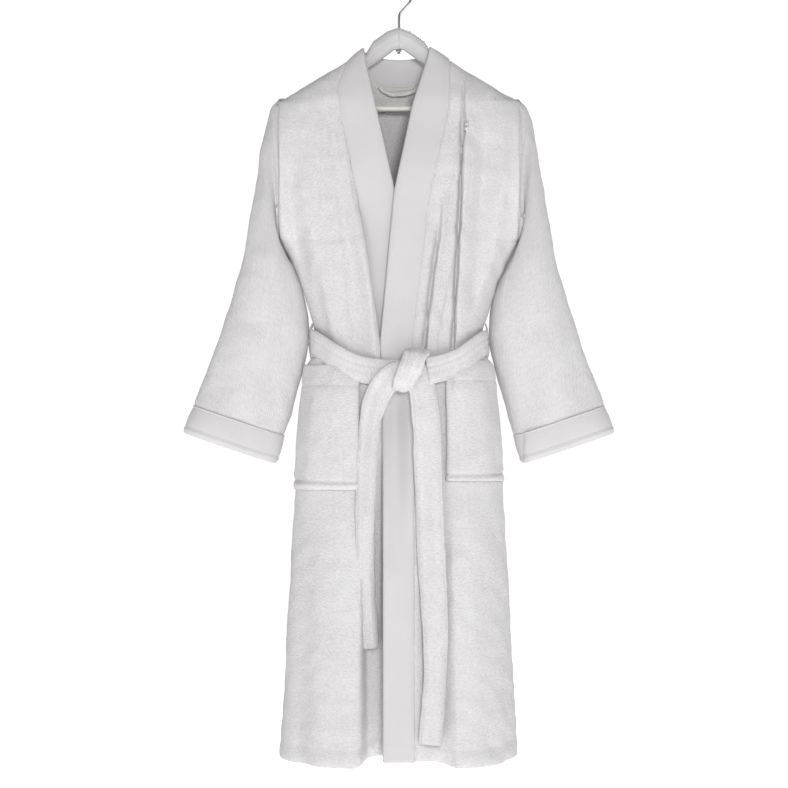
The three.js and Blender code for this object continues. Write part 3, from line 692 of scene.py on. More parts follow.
right_bodice_folds = (
    ([(-0.128, -0.150, 0.3), (-0.122, -0.30, 0.8), (-0.100, -0.46, 1), (-0.082, -0.70, 1)],
     0.0075, (0.030, 0.012)),
    ([(-0.165, -0.20, 0.2), (-0.158, -0.36, 1), (-0.132, -0.52, 1), (-0.105, -0.70, 0.9)],
     0.0060, (0.016, 0.020)),
    ([(-0.196, -0.315, 0), (-0.188, -0.38, 1), (-0.168, -0.465, 1), (-0.150, -0.53, 0)],
     -0.0050, (0.010, 0.014)),
    ([(-0.143, -0.480, 0), (-0.136, -0.53, 1), (-0.122, -0.60, 1), (-0.116, -0.68, 0.6)],
     -0.0050, (0.010, 0.008)),
    ([(-0.100, -0.20, 0.2), (-0.086, -0.34, 0.8), (-0.054, -0.50, 1), (-0.036, -0.66, 1)],
     0.0060, (0.016, 0.005)),
)
left_bodice_folds = (
    # The long pressed pleat: its edge, the groove beside it and the swell it lies on.
    ([(0.1140, -0.150, 0), (0.1120, -0.24, 0.7), (0.1070, -0.36, 1), (0.0970, -0.56, 1),
      (0.0900, -0.70, 0.9)], 0.0110, (0.0030, 0.034)),
    ([(0.1102, -0.150, 0), (0.1082, -0.24, 0.7), (0.1032, -0.36, 1), (0.0932, -0.56, 1),
      (0.0862, -0.70, 0.9)], -0.0085, (0.0040, 0.0024)),
    ([(0.1060, -0.150, 0), (0.1040, -0.24, 0.6), (0.0990, -0.36, 1), (0.0890, -0.56, 1),
      (0.0820, -0.70, 0.9)], 0.0030, (0.014, 0.0045)),
    # The short pleat nearer to the collar: its groove and its edge.
    ([(0.072, -0.40, 0), (0.0650, -0.44, 0.8), (0.054, -0.52, 1), (0.040, -0.64, 1),
      (0.036, -0.70, 0.8)], -0.0070, (0.0050, 0.0024)),
    ([(0.076, -0.36, 0), (0.069, -0.44, 0.9), (0.058, -0.52, 1), (0.044, -0.64, 1),
      (0.040, -0.70, 0.8)], 0.0090, (0.0026, 0.022)),
    ([(0.176, -0.21, 0.3), (0.172, -0.33, 1), (0.158, -0.47, 1), (0.128, -0.60, 1),
      (0.112, -0.70, 0.6)], 0.0070, (0.022, 0.016)),
    ([(0.140, -0.23, 0.2), (0.138, -0.36, 1), (0.124, -0.56, 1), (0.110, -0.68, 0.7)],
     -0.0035, (0.012, 0.010)),
)


def bodice_folds(x, z, side):
    return folded(x, z, right_bodice_folds if side < 0 else left_bodice_folds)


def recess(x, z):
    """How far the right front rolls back beside its middle, into the robe."""
    down = smooth(-z, 0.74, 1.10)
    return 0.040 * down * smooth(x, -0.058 - 0.006 * down, -0.046 - 0.006 * down)


def hollow(x, z):
    """The middle falls back below the knot, where the belt pulls both fronts in."""
    path = [(-0.004, -0.660, 0.7), (-0.006, -0.735, 1), (-0.006, -0.860, 0.6), (-0.006, -1.0, 0)]
    return crease(x, z, path, -0.026, (0.030, 0.020))


right_skirt_folds = (
    ([(-0.100, -0.72, 0.2), (-0.104, -0.95, 0.7), (-0.106, -1.33, 1)], 0.016, (0.050, 0.038)),
    ([(-0.150, -0.86, 0), (-0.158, -1.05, 0.8), (-0.163, -1.33, 1)], -0.0075, (0.016, 0.020)),
    ([(-0.062, -0.80, 0.2), (-0.066, -1.0, 0.8), (-0.070, -1.33, 1)], 0.0060, (0.016, 0.006)),
)
left_skirt_folds = (
    ([(0.118, -0.72, 0.2), (0.130, -0.98, 0.7), (0.136, -1.33, 1)], 0.015, (0.034, 0.040)),
    ([(0.052, -0.78, 0.2), (0.055, -1.0, 0.8), (0.060, -1.33, 1)], -0.018, (0.020, 0.022)),
    ([(0.086, -0.82, 0), (0.092, -1.0, 0.7), (0.096, -1.33, 1)], 0.0060, (0.010, 0.014)),
    ([(0.180, -0.92, 0), (0.184, -1.1, 0.8), (0.188, -1.33, 1)], -0.0060, (0.012, 0.014)),
)


def skirt_folds(x, z, side):
    ripple = 0.0022 * smooth(-z, 0.70, 1.30)
    if side < 0:
        folds = folded(x, z, right_skirt_folds, hollow(x, z) - recess(x, z))
        return folds + ripple * np.sin(x * 95 + z * 3)
    folds = folded(x, z, left_skirt_folds, hollow(x, z))
    return folds + ripple * np.sin(x * 88 + 1.3 - z * 2)


def front_point(x, z, side):
    """A place on the smooth front, folds included, with the cloth's lap."""
    upper = 1 - smooth(-z, 0.62, 0.72)
    belt_middle = waist_height - belt_dip * dipped(x, 0.142)
    pressed = 1 - 0.85 * np.exp(-(((z - belt_middle) / 0.034) ** 2))
    folds = 1.5 * bodice_folds(x, z, side) * upper + skirt_folds(x, z, side) * (1 - upper)
    folds = folds * pressed
    edge = np.clip(half_width(z) - np.abs(x), 0, 1)
    near_side = smooth(edge, 0.0, 0.030)
    return body_y(x, z, -1) - lap_lift(x, z, side) - folds * near_side


def front_net(side, part, rows, cols):
    """Points of a bodice or a skirt, from the collar seam to the side seam."""
    f = np.linspace(0, 1, cols)[None, :]
    v = np.linspace(0, 1, rows)[:, None]
    gap = 0.0004

    def place(h):
        inner = collar_seam(h, side) * side + gap
        wide = np.where(h > shoulder_height, shoulder_tip, half_width(h))
        start = np.arccos(np.clip(inner / wide, -1, 1))
        return wide * np.cos(start * (1 - f))

    if part == "bodice":
        top = np.full((1, cols), -0.15)
        for _ in range(8):
            top = shoulder_top(place(top))
        bottom = np.full((1, cols), -0.66)
        for _ in range(8):
            bottom = skirt_top(place(bottom)) + 0.001
    else:
        top = np.full((1, cols), -0.68)
        for _ in range(8):
            top = skirt_top(place(top)) - 0.001
        bottom = np.full((1, cols), hem_height)
        for _ in range(2):
            s = place(bottom) * side
            rise = (0.012 * smooth(s, -0.085, -0.03) if side < 0
                    else 0.011 * (1 - smooth(s, 0.035, 0.105)) + 0.004 * smooth(s, 0.16, 0.20))
            bottom = hem_height + 0.002 + rise
    z = top + (bottom - top) * v
    x = np.minimum(place(z), half_width(z)) * side
    y = front_point(x, z, side)
    net = np.stack([x, y, z], -1)
    normal, _ = net_normals(net, np.array([0, -1.0, 0]))
    lift = 0.0008 * lumps(net, 0.045, 11 + side) + 0.0005 * lumps(net, 0.016, 21 + side)
    if part == "bodice":
        lift -= 0.0016 * np.exp(-(((shoulder_top(np.abs(x)) - z) / 0.004) ** 2))
        rolled = 0.0040 if side < 0 else 0.0016
        from_seam = np.abs(x - collar_seam(z, side))
        lift += rolled * smooth(-z, 0.25, 0.45) * np.exp(-((from_seam / 0.012) ** 2))
        lift -= 0.0016 * smooth(-z, 0.21, 0.30) * (
            np.exp(-(((shoulder_tip - np.abs(x)) / 0.004) ** 2)))
    else:
        lift += 0.0014 * np.exp(-(((z - bottom - 0.010) / 0.010) ** 2))
        lift -= 0.0014 * np.exp(-(((z - bottom - 0.0255) / 0.0022) ** 2))
    lift -= 0.0016 * np.exp(-((np.abs(x - collar_seam(z, side)) / 0.0022) ** 2))
    net = net + normal * lift[..., None]
    net[..., 1] = np.minimum(net[..., 1], -0.0006)
    return net


to_front = np.array([0, -1.0, 0])
for side, name in ((-1, "right"), (1, "left")):
    net = front_net(side, "bodice", 150, 250 if side > 0 else 150)
    normal, _ = net_normals(net, to_front)
    bodice = cloth(f"{name}_front_upper", net, to_front, terry)
    sew(bodice, [column_line(net, normal, 0.0045)])
    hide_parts(f"{name}_front_bodice")
    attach(bodice, "robe")
    net = front_net(side, "skirt", 150, 120)
    normal, _ = net_normals(net, to_front)
    skirt = cloth(f"{name}_front_lower", net, to_front, terry)
    sew(skirt, [row_line(net, normal, 0.0255), column_line(net, normal, 0.0045)])
    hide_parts(f"{name}_front_skirt")
    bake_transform(skirt)

# ---------------------------------------------------------------- Collar and front bands
# A flat band of shorn velour, doubled and stitched along both edges. It runs round the back
# of the neck and down each front to the hem, the left one over the right.
# The second colour is the painted shade in the gaps of the shorn pile.
velour = soft_finish(
    "velour", (0.605, 0.595, 0.60), (0.565, 0.555, 0.56), 900, 1300, 2600, 0.35, 0.0008, 0.25)
band_thickness = 0.006


def band_net(side, rows, cols, first, last):
    """Points of the band between two heights of its free edge."""
    u = np.linspace(0, 1, cols)[None, :]
    v = np.linspace(0, 1, rows)[:, None]
    free = first + (last - first) * v
    from_neck = neck_point_height + (last - neck_point_height) * v
    sewn = np.minimum(free, np.where(first > -0.2, from_neck, free))
    z = free + (sewn - free) * u
    x = collar_inner(z, side) + (collar_seam(z, side) - collar_inner(z, side)) * u
    x = np.clip(x, -half_width(z), half_width(z))
    y = front_point(x, z, side)
    if side < 0:
        y = y + 0.0065 * smooth(-z, 0.28, 0.46) * (1 - smooth(-z, 0.60, 0.68))
    net = np.stack([x, y, z], -1)
    normal, _ = net_normals(net, to_front)
    from_edge = np.minimum(u, 1 - u) * np.abs(collar_seam(z, side) - collar_inner(z, side))
    stitch_dent = 0.0006 * np.exp(-(((from_edge - 0.0065) / 0.0012) ** 2))
    lift = 0.0012 * smooth(from_edge, 0, 0.007) - stitch_dent
    lift = lift + 0.0005 * lumps(net, 0.07, 31 + side)
    net = net + normal * lift[..., None]
    net[..., 1] = np.minimum(net[..., 1], -0.0006)
    return net


for side, name in ((-1, "right"), (1, "left")):
    net = band_net(side, 170, 22, -0.110, -0.669)
    normal, _ = net_normals(net, to_front)
    collar = cloth(f"{name}_collar", net, to_front, velour, band_thickness)
    sew(collar, [column_line(net, normal, 0.0062), column_line(net, normal, 0.0045, True)])
    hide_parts(f"{name}_collar_band")
    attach(collar, "robe")
    net = band_net(side, 160, 20, -0.672, hem_height + 0.012)
    normal, _ = net_normals(net, to_front)
    edge = cloth(f"{name}_front_edge", net, to_front, velour, band_thickness)
    sew(edge, [column_line(net, normal, 0.0062), row_line(net, normal, 0.0255)])
    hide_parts(f"{name}_skirt_band")
    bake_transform(edge)

u = np.linspace(-1, 1, 90)[None, :]
v = np.linspace(0, 1, 18)[:, None]
band_low, band_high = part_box("back_neck_band")
deep = band_high.y - 0.002
top_half, foot_half = 0.0600, 0.0835
half = top_half + (foot_half - top_half) * v
x = half * np.sin(u * math.pi / 2)
y = 0.002 + (deep - 0.002) * np.cos(u * math.pi / 2) ** 0.9 * (0.86 + 0.14 * v)
rise = -0.1135 - 0.011 * np.cos(u * math.pi / 2) ** 1.5
foot = neck_point_height - 0.003 + (
    back_neck_height - neck_point_height + 0.004) * np.cos(u * math.pi / 2)
z = rise + (foot - rise) * v
net = np.stack([x + 0 * z, y + 0 * z, z], -1)
to_inside = np.array([0, -1.0, 0])
normal, _ = net_normals(net, to_inside)
net = net + normal * (0.0006 * lumps(net, 0.05, 44) + 0.0010 * np.sin(math.pi * v))[..., None]
neck_band = cloth("back_neck", net, to_inside, velour, band_thickness * 0.8)
sew(neck_band, [row_line(net, normal, 0.006), row_line(net, normal, 0.006, False)])
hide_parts("back_neck_band")
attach(neck_band, "robe")

# ---------------------------------------------------------------- Sleeves
# Wide straight sleeves of terry, set in at a dropped shoulder and hanging at the sides.
# They wrinkle under the arm.
# Each line runs from the armhole to the cuff: shares of the length, then x, then height.
sleeve_outer = (
    [0.0, 0.02, 0.05, 0.16, 0.30, 0.58, 0.80, 1.0],
    [0.1990, 0.2085, 0.2180, 0.2262, 0.2376, 0.2676, 0.3056, 0.351],
    [-0.1975, -0.1985, -0.2075, -0.2335, -0.299, -0.475, -0.600, -0.719])
sleeve_inner = (
    [0.0, 0.02, 0.05, 0.16, 0.30, 0.36, 0.45, 0.52, 0.58, 0.66, 0.80, 1.0],
    [0.1990, 0.2040, 0.2042, 0.2010, 0.1945, 0.1830,
     0.1660, 0.1560, 0.1530, 0.1560, 0.1720, 0.196],
    [-0.4460, -0.4405, -0.4405, -0.444, -0.455, -0.478,
     -0.515, -0.552, -0.590, -0.628, -0.690, -0.771])


def sleeve_net(side, rows, cols):
    """Rings of points from the flange inside the armhole to the cuff's seam."""
    s = np.linspace(0, 1, rows)[:, None]
    turn = np.linspace(0, 2 * math.pi, cols, endpoint=False)[None, :]

    def eased(edge, which):
        straight = np.interp(s, edge[0], edge[which])
        even = sum(
            np.interp(s + k * 0.03, edge[0], edge[which]) for k in (-1, -0.5, 0, 0.5, 1)) / 5
        mix = smooth(s, 0, 0.05) * smooth(1 - s, 0, 0.05)
        return straight * (1 - mix) + even * mix

    ox, oz = eased(sleeve_outer, 1), eased(sleeve_outer, 2)
    ix, iz = eased(sleeve_inner, 1), eased(sleeve_inner, 2)
    c, n = np.cos(turn), np.sin(turn)
    full = 1 - 0.14 * smooth(s, 0.02, 0.35)
    along = np.sign(c) * np.abs(c) ** full
    deep = np.sign(n) * np.abs(n) ** full
    sunk = 0.22 if side > 0 else 0.10
    dip = 0.01 + sunk * smooth(s, 0.02, 0.12) * (1 - smooth(s, 0.16, 0.55))
    flange = 1 + 0.12 * (1 - smooth(s, 0, 0.02))
    depth = (0.0445 + (0.0358 - 0.0445) * s) * np.where(n > 0, 1.0 - dip, 0.92) * flange
    x = (ox + ix) / 2 + (ox - ix) / 2 * along
    z = (oz + iz) / 2 + (oz - iz) / 2 * along
    y = -depth * deep
    return np.stack([x * side, y, z], -1), s


armhole_fold = [(0.214, -0.225, 0.4), (0.209, -0.30, 1), (0.204, -0.42, 1), (0.190, -0.50, 0.8),
                (0.187, -0.56, 0)]
sleeve_creases = (
    ([(0.236, -0.245, 0), (0.229, -0.29, 1), (0.221, -0.35, 0.9), (0.215, -0.40, 0)],
     0.0050, (0.006, 0.012)),
    ([(0.225, -0.216, 0), (0.227, -0.235, 1), (0.231, -0.262, 0.3)], -0.0030, (0.005, 0.006)),
    ([(0.200, -0.500, 0), (0.222, -0.47, 1), (0.246, -0.455, 0)], 0.0035, (0.012, 0.016)),
    ([(0.205, -0.60, 0), (0.236, -0.585, 1), (0.262, -0.59, 0)], -0.0030, (0.014, 0.018)),
    ([(0.232, -0.34, 0), (0.240, -0.50, 1), (0.258, -0.64, 0.8), (0.270, -0.74, 0.4)],
     0.0050, (0.030, 0.030)),
    ([(0.205, -0.56, 0), (0.214, -0.66, 1), (0.225, -0.75, 0.6)], -0.0040, (0.014, 0.016)),
    ([(0.286, -0.62, 0), (0.300, -0.68, 1), (0.312, -0.73, 0.8)], -0.0035, (0.016, 0.020)),
)


def sleeve_folds(net, s, side):
    """Folds of the sleeve's front and ripples of its back. The left one falls in further."""
    x, z = net[..., 0] * side, net[..., 2]
    front = smooth(-net[..., 1], 0.004, 0.022)
    rear = smooth(net[..., 1], 0.004, 0.022)
    fall = -0.0060 * (1.0 if side > 0 else 0.45)
    folds = folded(x, z, sleeve_creases, crease(x, z, armhole_fold, fall, (0.014, 0.018)))
    behind = 0.0050 * np.sin(x * 60 + z * 9) * smooth(s, 0.05, 0.4)
    return folds * front + behind * rear


for side, name in ((-1, "right"), (1, "left")):
    net, s = sleeve_net(side, 130, 120)
    middle = net.mean(axis=1, keepdims=True)
    normal, _ = net_normals(net, net - middle, True)
    at_end = smooth(s, 0, 0.03) * smooth(1 - s, 0, 0.05)
    lift = sleeve_folds(net, s, side) * at_end
    lift = lift + 0.0008 * lumps(net, 0.045, 51 + side) + 0.0004 * lumps(net, 0.015, 53 + side)
    lift = lift - 0.0016 * np.exp(-(((1 - s) / 0.006) ** 2))
    net = net + normal * lift[..., None]
    away = net - net.mean(axis=1, keepdims=True)
    sleeve = cloth(f"{name}_sleeve_cloth", net, away, terry, around=True)
    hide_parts(f"{name}_sleeve")
    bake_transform(sleeve)

# ---------------------------------------------------------------- Cuffs
# Deep turned-back cuffs of smooth velour, with a corded seam where they meet the sleeve, a
# double row of stitching near the bottom edge and a lapped join at the back of the wrist.


# The sleeve's end, as (x, height) of its outer and its inner edge.
wrist_outer, wrist_inner = (0.351, -0.719), (0.196, -0.771)
cuff_depth = 0.0475


def cuff_net(side, rows, cols):
    """Rings of points from the sleeve's seam to the cuff's bottom edge."""
    s = np.linspace(0, 1, rows)[:, None]
    turn = np.linspace(0, 2 * math.pi, cols, endpoint=False)[None, :]
    slope = np.array([wrist_outer[0] - wrist_inner[0], wrist_outer[1] - wrist_inner[1]])
    down = np.array([slope[1], -slope[0]]) / np.linalg.norm(slope)
    middle_x = (wrist_outer[0] + wrist_inner[0]) / 2
    middle_z = (wrist_outer[1] + wrist_inner[1]) / 2
    c, n = np.cos(turn), np.sin(turn)
    along = np.sign(c) * np.abs(c) ** 0.86
    deep = np.sign(n) * np.abs(n) ** 0.86
    flare = 1 + 0.015 * s
    x = middle_x + slope[0] / 2 * along * flare + down[0] * cuff_depth * s
    z = middle_z + slope[1] / 2 * along * flare + down[1] * cuff_depth * s
    y = -0.0362 * deep * np.where(n > 0, 1.0, 0.94) + 0 * s
    return np.stack([x * side, y, z], -1), s


def faced_out(piece):
    """Turns a closed piece's faces outwards."""
    bpy.ops.object.select_all(action="DESELECT")
    bpy.context.view_layer.objects.active = piece
    piece.select_set(True)
    bpy.ops.object.mode_set(mode="EDIT")
    bpy.ops.mesh.select_all(action="SELECT")
    bpy.ops.mesh.normals_make_consistent(inside=False)
    bpy.ops.object.mode_set(mode="OBJECT")
    return piece


def piping(name, line, radius, material, sides=10):
    """A thin filled cord of cloth along a closed line, sewn into a seam."""
    along = unit(np.roll(line, -1, axis=0) - np.roll(line, 1, axis=0))
    away = unit(line - line.mean(axis=0))
    away = unit(away - along * (away * along).sum(axis=1, keepdims=True))
    across = np.cross(along, away)
    angle = np.linspace(0, 2 * math.pi, sides, endpoint=False)
    points = (line[:, None] + radius * (np.cos(angle)[None, :, None] * away[:, None]
                                       + np.sin(angle)[None, :, None] * across[:, None]))
    count = len(line)
    faces = [[i * sides + k, i * sides + (k + 1) % sides,
              (i + 1) % count * sides + (k + 1) % sides, (i + 1) % count * sides + k]
             for i in range(count) for k in range(sides)]
    run = np.repeat(np.linspace(0, 0.4, count), sides)
    flat = np.stack([run, np.tile(angle * radius, count)], -1)
    return faced_out(made_piece(name, points.reshape(-1, 3), faces, flat, material))


for side, name in ((-1, "right"), (1, "left")):
    net, s = cuff_net(side, 26, 132)
    away = net - net.mean(axis=1, keepdims=True)
    normal, _ = net_normals(net, away, True)
    lift = 0.0022 * np.sin(math.pi * np.clip(s, 0, 1)) + 0.0004 * lumps(net, 0.05, 61 + side)
    lift = lift + 0.0016 * np.exp(-(((s - 0.88) / 0.06) ** 2))
    lift = lift - 0.0008 * np.exp(-(((s - 0.76) / 0.02) ** 2))
    join_x = 0.2135
    join = np.exp(-(((net[..., 0] * side - join_x) / 0.0035) ** 2)) * (net[..., 1] < 0)
    step = smooth(net[..., 0] * side, join_x - 0.0012, join_x + 0.0012) * (1 - smooth(
        net[..., 0] * side, join_x + 0.006, join_x + 0.045)) * (net[..., 1] < 0)
    lift = lift + (0.0030 * step - 0.0006 * join) * (1.0 if side > 0 else 0.0)
    net = net + normal * lift[..., None]
    normal, _ = net_normals(net, away, True)
    cuff = cloth(f"{name}_cuff_band", net, away, velour, band_thickness * 0.8, around=True)
    bottom_line, top_line = (
        tuple(np.concatenate([a, a[:1]]) for a in row_line(net, normal, inset, from_end))
        for inset, from_end in ((0.0105, True), (0.0045, False)))
    sew(cuff, [bottom_line, top_line])
    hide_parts(f"{name}_cuff")
    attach(cuff, f"{name}_arm")
    cord_line, _ = row_line(net, normal, 0.0002, False)
    corded = piping(f"{name}_cuff_cord", cord_line, 0.0013, velour)
    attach(corded, f"{name}_arm")

# ---------------------------------------------------------------- Pockets
# Two patch pockets of terry sewn on three sides, low on the hips. The mouth has a deep
# stitched hem, and the bottom seam is turned under and stands off in a thick roll.
for side, name in ((-1, "right"), (1, "left")):
    inner_x = 0.066 if side < 0 else 0.078
    top_height, foot_height = (-0.650, -0.858) if side < 0 else (-0.642, -0.846)
    u = np.linspace(0, 1, 70)[None, :]
    v = np.linspace(0, 1, 84)[:, None]
    tilt = 0.004 * (1 - u) if side > 0 else -0.001 * u
    z = top_height + (foot_height - top_height) * v + tilt * v
    wide = half_width(z) + 0.0035
    x = side * (inner_x + (wide - 0.002 - inner_x) * np.sin(u * math.pi / 2) ** 0.92)
    base = front_point(x * 0.985, z, side) - 0.0048
    flatness = smooth(wide - np.abs(x), 0.0, 0.030)
    belly = np.sin(math.pi * np.clip(u, 0, 1)) ** 0.6 * np.sin(math.pi * (v * 0.86 + 0.1))
    pouch = 0.0005 + 0.0050 * smooth(v, 0, 0.25) + 0.0075 * belly
    sag = pouch - 0.0030 * smooth(v, 0.92, 1.0)
    y = base - sag * flatness
    net = np.stack([x + 0 * z, y, z], -1)
    x, z = net[..., 0] * side, net[..., 2]
    lift = 0.0009 * lumps(net, 0.040, 71 + side) + 0.0004 * lumps(net, 0.015, 73 + side)
    lift = folded(x, z, (
        ([(0.150, -0.665, 0), (0.128, -0.70, 1), (0.098, -0.745, 0)], 0.0022, (0.014, 0.014)),
        ([(0.168, -0.77, 0), (0.140, -0.79, 1), (0.105, -0.83, 0)], 0.0020, (0.012, 0.016))), lift)
    roll = (foot_height + 0.006 - z) / 0.0055
    above_roll = (z - foot_height - 0.0135) / 0.0022
    lift += 0.0034 * smooth(wide - x, -0.001, 0.016) * np.exp(-(roll**2))
    lift -= 0.0030 * np.exp(-(above_roll**2))
    lift -= 0.0012 * np.exp(-(((z - top_height + 0.034) / 0.0022) ** 2))
    lift += 0.0012 * np.exp(-(((z - top_height + 0.016) / 0.014) ** 2))
    lift -= 0.0016 * np.exp(-(((x - inner_x) / 0.003) ** 2))
    normal, _ = net_normals(net, to_front)
    net = net + normal * lift[..., None]
    normal, _ = net_normals(net, to_front)
    pocket = cloth(f"{name}_patch_pocket", net, to_front, terry)
    sew(pocket, [row_line(net, normal, 0.034, False), row_line(net, normal, 0.0150),
                 column_line(net, normal, 0.0050)])
    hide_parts(f"{name}_pocket")
    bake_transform(pocket)

# ---------------------------------------------------------------- Belt
# A long flat tube of terry with both edges stitched. It goes round the waist through two
# loops, sags to the middle and is tied there in a single half knot with hanging ends.


belt_width, belt_thickness = 0.045, 0.0065


def ribbon(name, middle, across, away, width, thickness, material,
           curl=0.0, grooves=(), seed=0, cols=22):
    """A belt length: middle is its centre line, across its cross direction and away its face."""
    u = np.linspace(-1, 1, cols)[None, :, None]
    half = (width / 2)[:, None, None] if np.ndim(width) else width / 2
    puff = thickness * 0.5 * (1 - np.abs(u) ** 4) ** 0.5
    bow = (np.asarray(curl)[:, None, None] if np.ndim(curl) else curl) * (1 - u**2)
    face = middle[:, None] + across[:, None] * u * half + away[:, None] * (puff + bow)
    rear = middle[:, None] + across[:, None] * u * half - away[:, None] * (puff - bow)
    ring = np.concatenate([face, rear[:, -2:0:-1]], axis=1)
    centre = ring.mean(axis=1, keepdims=True)
    normal, _ = net_normals(ring, ring - centre, True)
    place = np.concatenate([u[0, :, 0], u[0, -2:0:-1, 0]])[None, :]
    lift = 0.0007 * lumps(ring, 0.03, seed) + 0.0004 * lumps(ring, 0.012, seed + 1)
    lift = lift - 0.0009 * np.exp(-(((np.abs(place) - 0.80) / 0.05) ** 2))
    for where, size, spread in grooves:
        lift = lift + size * np.exp(-(((place - where) / spread) ** 2))
    ring = ring + normal * lift[..., None]
    rows, count = ring.shape[:2]
    points = np.concatenate([ring.reshape(-1, 3), ring[:1].mean(axis=1), ring[-1:].mean(axis=1)])
    faces = [[i * count + k, i * count + (k + 1) % count,
              (i + 1) * count + (k + 1) % count, (i + 1) * count + k]
             for i in range(rows - 1) for k in range(count)]
    tip, tail, last = rows * count, rows * count + 1, (rows - 1) * count
    faces += [[tip, (k + 1) % count, k] for k in range(count)]
    faces += [[tail, last + k, last + (k + 1) % count] for k in range(count)]
    run = np.cumsum(np.linalg.norm(np.diff(middle, axis=0, prepend=middle[:1]), axis=1))
    flat = np.stack([np.repeat(place * 0.023, rows, 0),
                     np.repeat(run[:, None], count, 1)], -1).reshape(-1, 2)
    flat = np.concatenate([flat, [[0, 0]], [[0, run[-1]]]])
    made = faced_out(made_piece(name, points, faces, flat, material))
    edges = [(face[:, k] + (normal[:, k]) * 0.0002, normal[:, k]) for k in (2, cols - 3)]
    return made, edges


def smooth_path(points, count):
    """A smooth line through points, evenly spaced."""
    points = np.array(points, float)
    steps = np.concatenate([[0], np.cumsum(np.linalg.norm(np.diff(points, axis=0), axis=1))])
    dense = np.linspace(0, steps[-1], 400)
    line = np.stack([np.interp(dense, steps, points[:, k]) for k in range(3)], 1)
    kernel = np.hanning(61)
    kernel /= kernel.sum()
    padded = np.concatenate([2 * line[0] - line[30:0:-1], line, 2 * line[-1] - line[-2:-32:-1]])
    line = np.stack([np.convolve(padded[:, k], kernel, "valid") for k in range(3)], 1)
    run = np.concatenate([[0], np.cumsum(np.linalg.norm(np.diff(line, axis=0), axis=1))])
    even = np.linspace(0, run[-1], count)
    return np.stack([np.interp(even, run, line[:, k]) for k in range(3)], 1)


sweep = np.linspace(0, 2 * math.pi, 260)[1:]
cos, sin = np.cos(sweep), np.sin(sweep)
front_half = sin < 0
belt_z = waist_height - belt_dip * np.where(front_half, np.abs(sin) ** 3, 0)
belt_x = half_width(belt_z) * np.sign(cos) * np.abs(cos) ** (2 / fullness)
belt_y = np.where(front_half, body_y(belt_x, belt_z, -1), body_y(belt_x, belt_z, 1))
outward = unit(np.stack([cos, sin, 0 * cos], 1))
over_lap = lap * smooth(belt_x, -0.03, 0.0) * (1 - smooth(belt_x, 0.10, 0.14))
at_knot = 0.009 * np.exp(-(((belt_x - 0.03) / 0.035) ** 2))
push = np.where(front_half, 0.0120 + over_lap + at_knot, 0.0065)
push = push * (0.70 + 0.30 * np.abs(sin) ** 0.5)
middle = np.stack([belt_x, belt_y, belt_z], 1) + outward * push[:, None]
order = np.roll(np.arange(len(middle)), -int(len(middle) * 0.772))
middle, outward = middle[order], outward[order]
for _ in range(6):
    middle[1:-1] = (middle[:-2] + 2 * middle[1:-1] + middle[2:]) / 4
middle, outward = middle[2:-5], outward[2:-5]
along = unit(np.gradient(middle, axis=0))
across = unit(np.cross(outward, along))
across *= np.sign(across[:, 2:3])
outward = unit(np.cross(along, across))
outward *= np.sign((outward[:, :2] * middle[:, :2]).sum(1))[:, None]
belt, edges = ribbon("belt", middle, across, outward, belt_width, belt_thickness, terry,
                     grooves=[(0.34, -0.0014, 0.07), (-0.12, -0.0009, 0.12)], seed=81, cols=26)
sew(belt, edges)
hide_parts("belt_waist")
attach(belt, "robe")

# The hanging ends ride on their own joints. The knot is the wrap that holds them. Each end's
# spine gives x, height, width and how much further than the rest it stands out.
for name, spine, seed in (
    ("right", [(0.008, -0.656, 0.030, 0.017), (-0.012, -0.666, 0.040, 0.017),
               (-0.033, -0.692, 0.044, 0.009), (-0.048, -0.737, 0.038, 0.003),
               (-0.054, -0.82, 0.034, 0.0), (-0.057, -0.92, 0.031, 0.0),
               (-0.056, -1.00, 0.032, 0.0), (-0.049, -1.122, 0.033, 0.0)], 91),
    ("left", [(0.030, -0.652, 0.040, -0.006), (0.040, -0.690, 0.046, -0.003),
              (0.046, -0.750, 0.048, 0.0), (0.048, -0.85, 0.047, 0.0),
              (0.054, -0.98, 0.048, 0.0), (0.060, -1.08, 0.044, 0.0),
              (0.059, -1.18, 0.040, 0.0), (0.051, -1.275, 0.040, 0.0)], 95),
):
    spine = np.array(spine)
    side = -1 if name == "right" else 1
    depth = front_point(spine[:, 0], spine[:, 1], side)
    stand = (0.0150 + spine[:, 3]) + (0.005 if side > 0 else 0.0)
    line = smooth_path(np.stack([spine[:, 0], depth - stand, spine[:, 1]], 1), 120)
    width = np.interp(line[:, 2][::-1], spine[::-1, 1], spine[::-1, 2])[::-1]
    sway = 0.22 * np.sin((line[:, 2] + 0.7) * 12 + side)
    across = unit(np.stack([np.cos(sway), np.sin(sway), 0 * sway], 1))
    along = unit(np.gradient(line, axis=0))
    away = unit(np.cross(across, along))
    away *= np.where(away[:, 1] > 0, -1, 1)[:, None]
    across = unit(np.cross(along, away))
    curl = 0.0035 * np.sin((line[:, 2] + 0.6) * 9) + 0.0015
    tail, edges = ribbon(f"{name}_belt_end", line, across, away, width, 0.0085, terry, curl=curl,
                         grooves=[(0.25, -0.0012, 0.14), (-0.3, 0.0010, 0.14)], seed=seed)
    sew(tail, edges)
    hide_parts(f"{name}_belt_tail")
    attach(tail, f"{name}_tail")

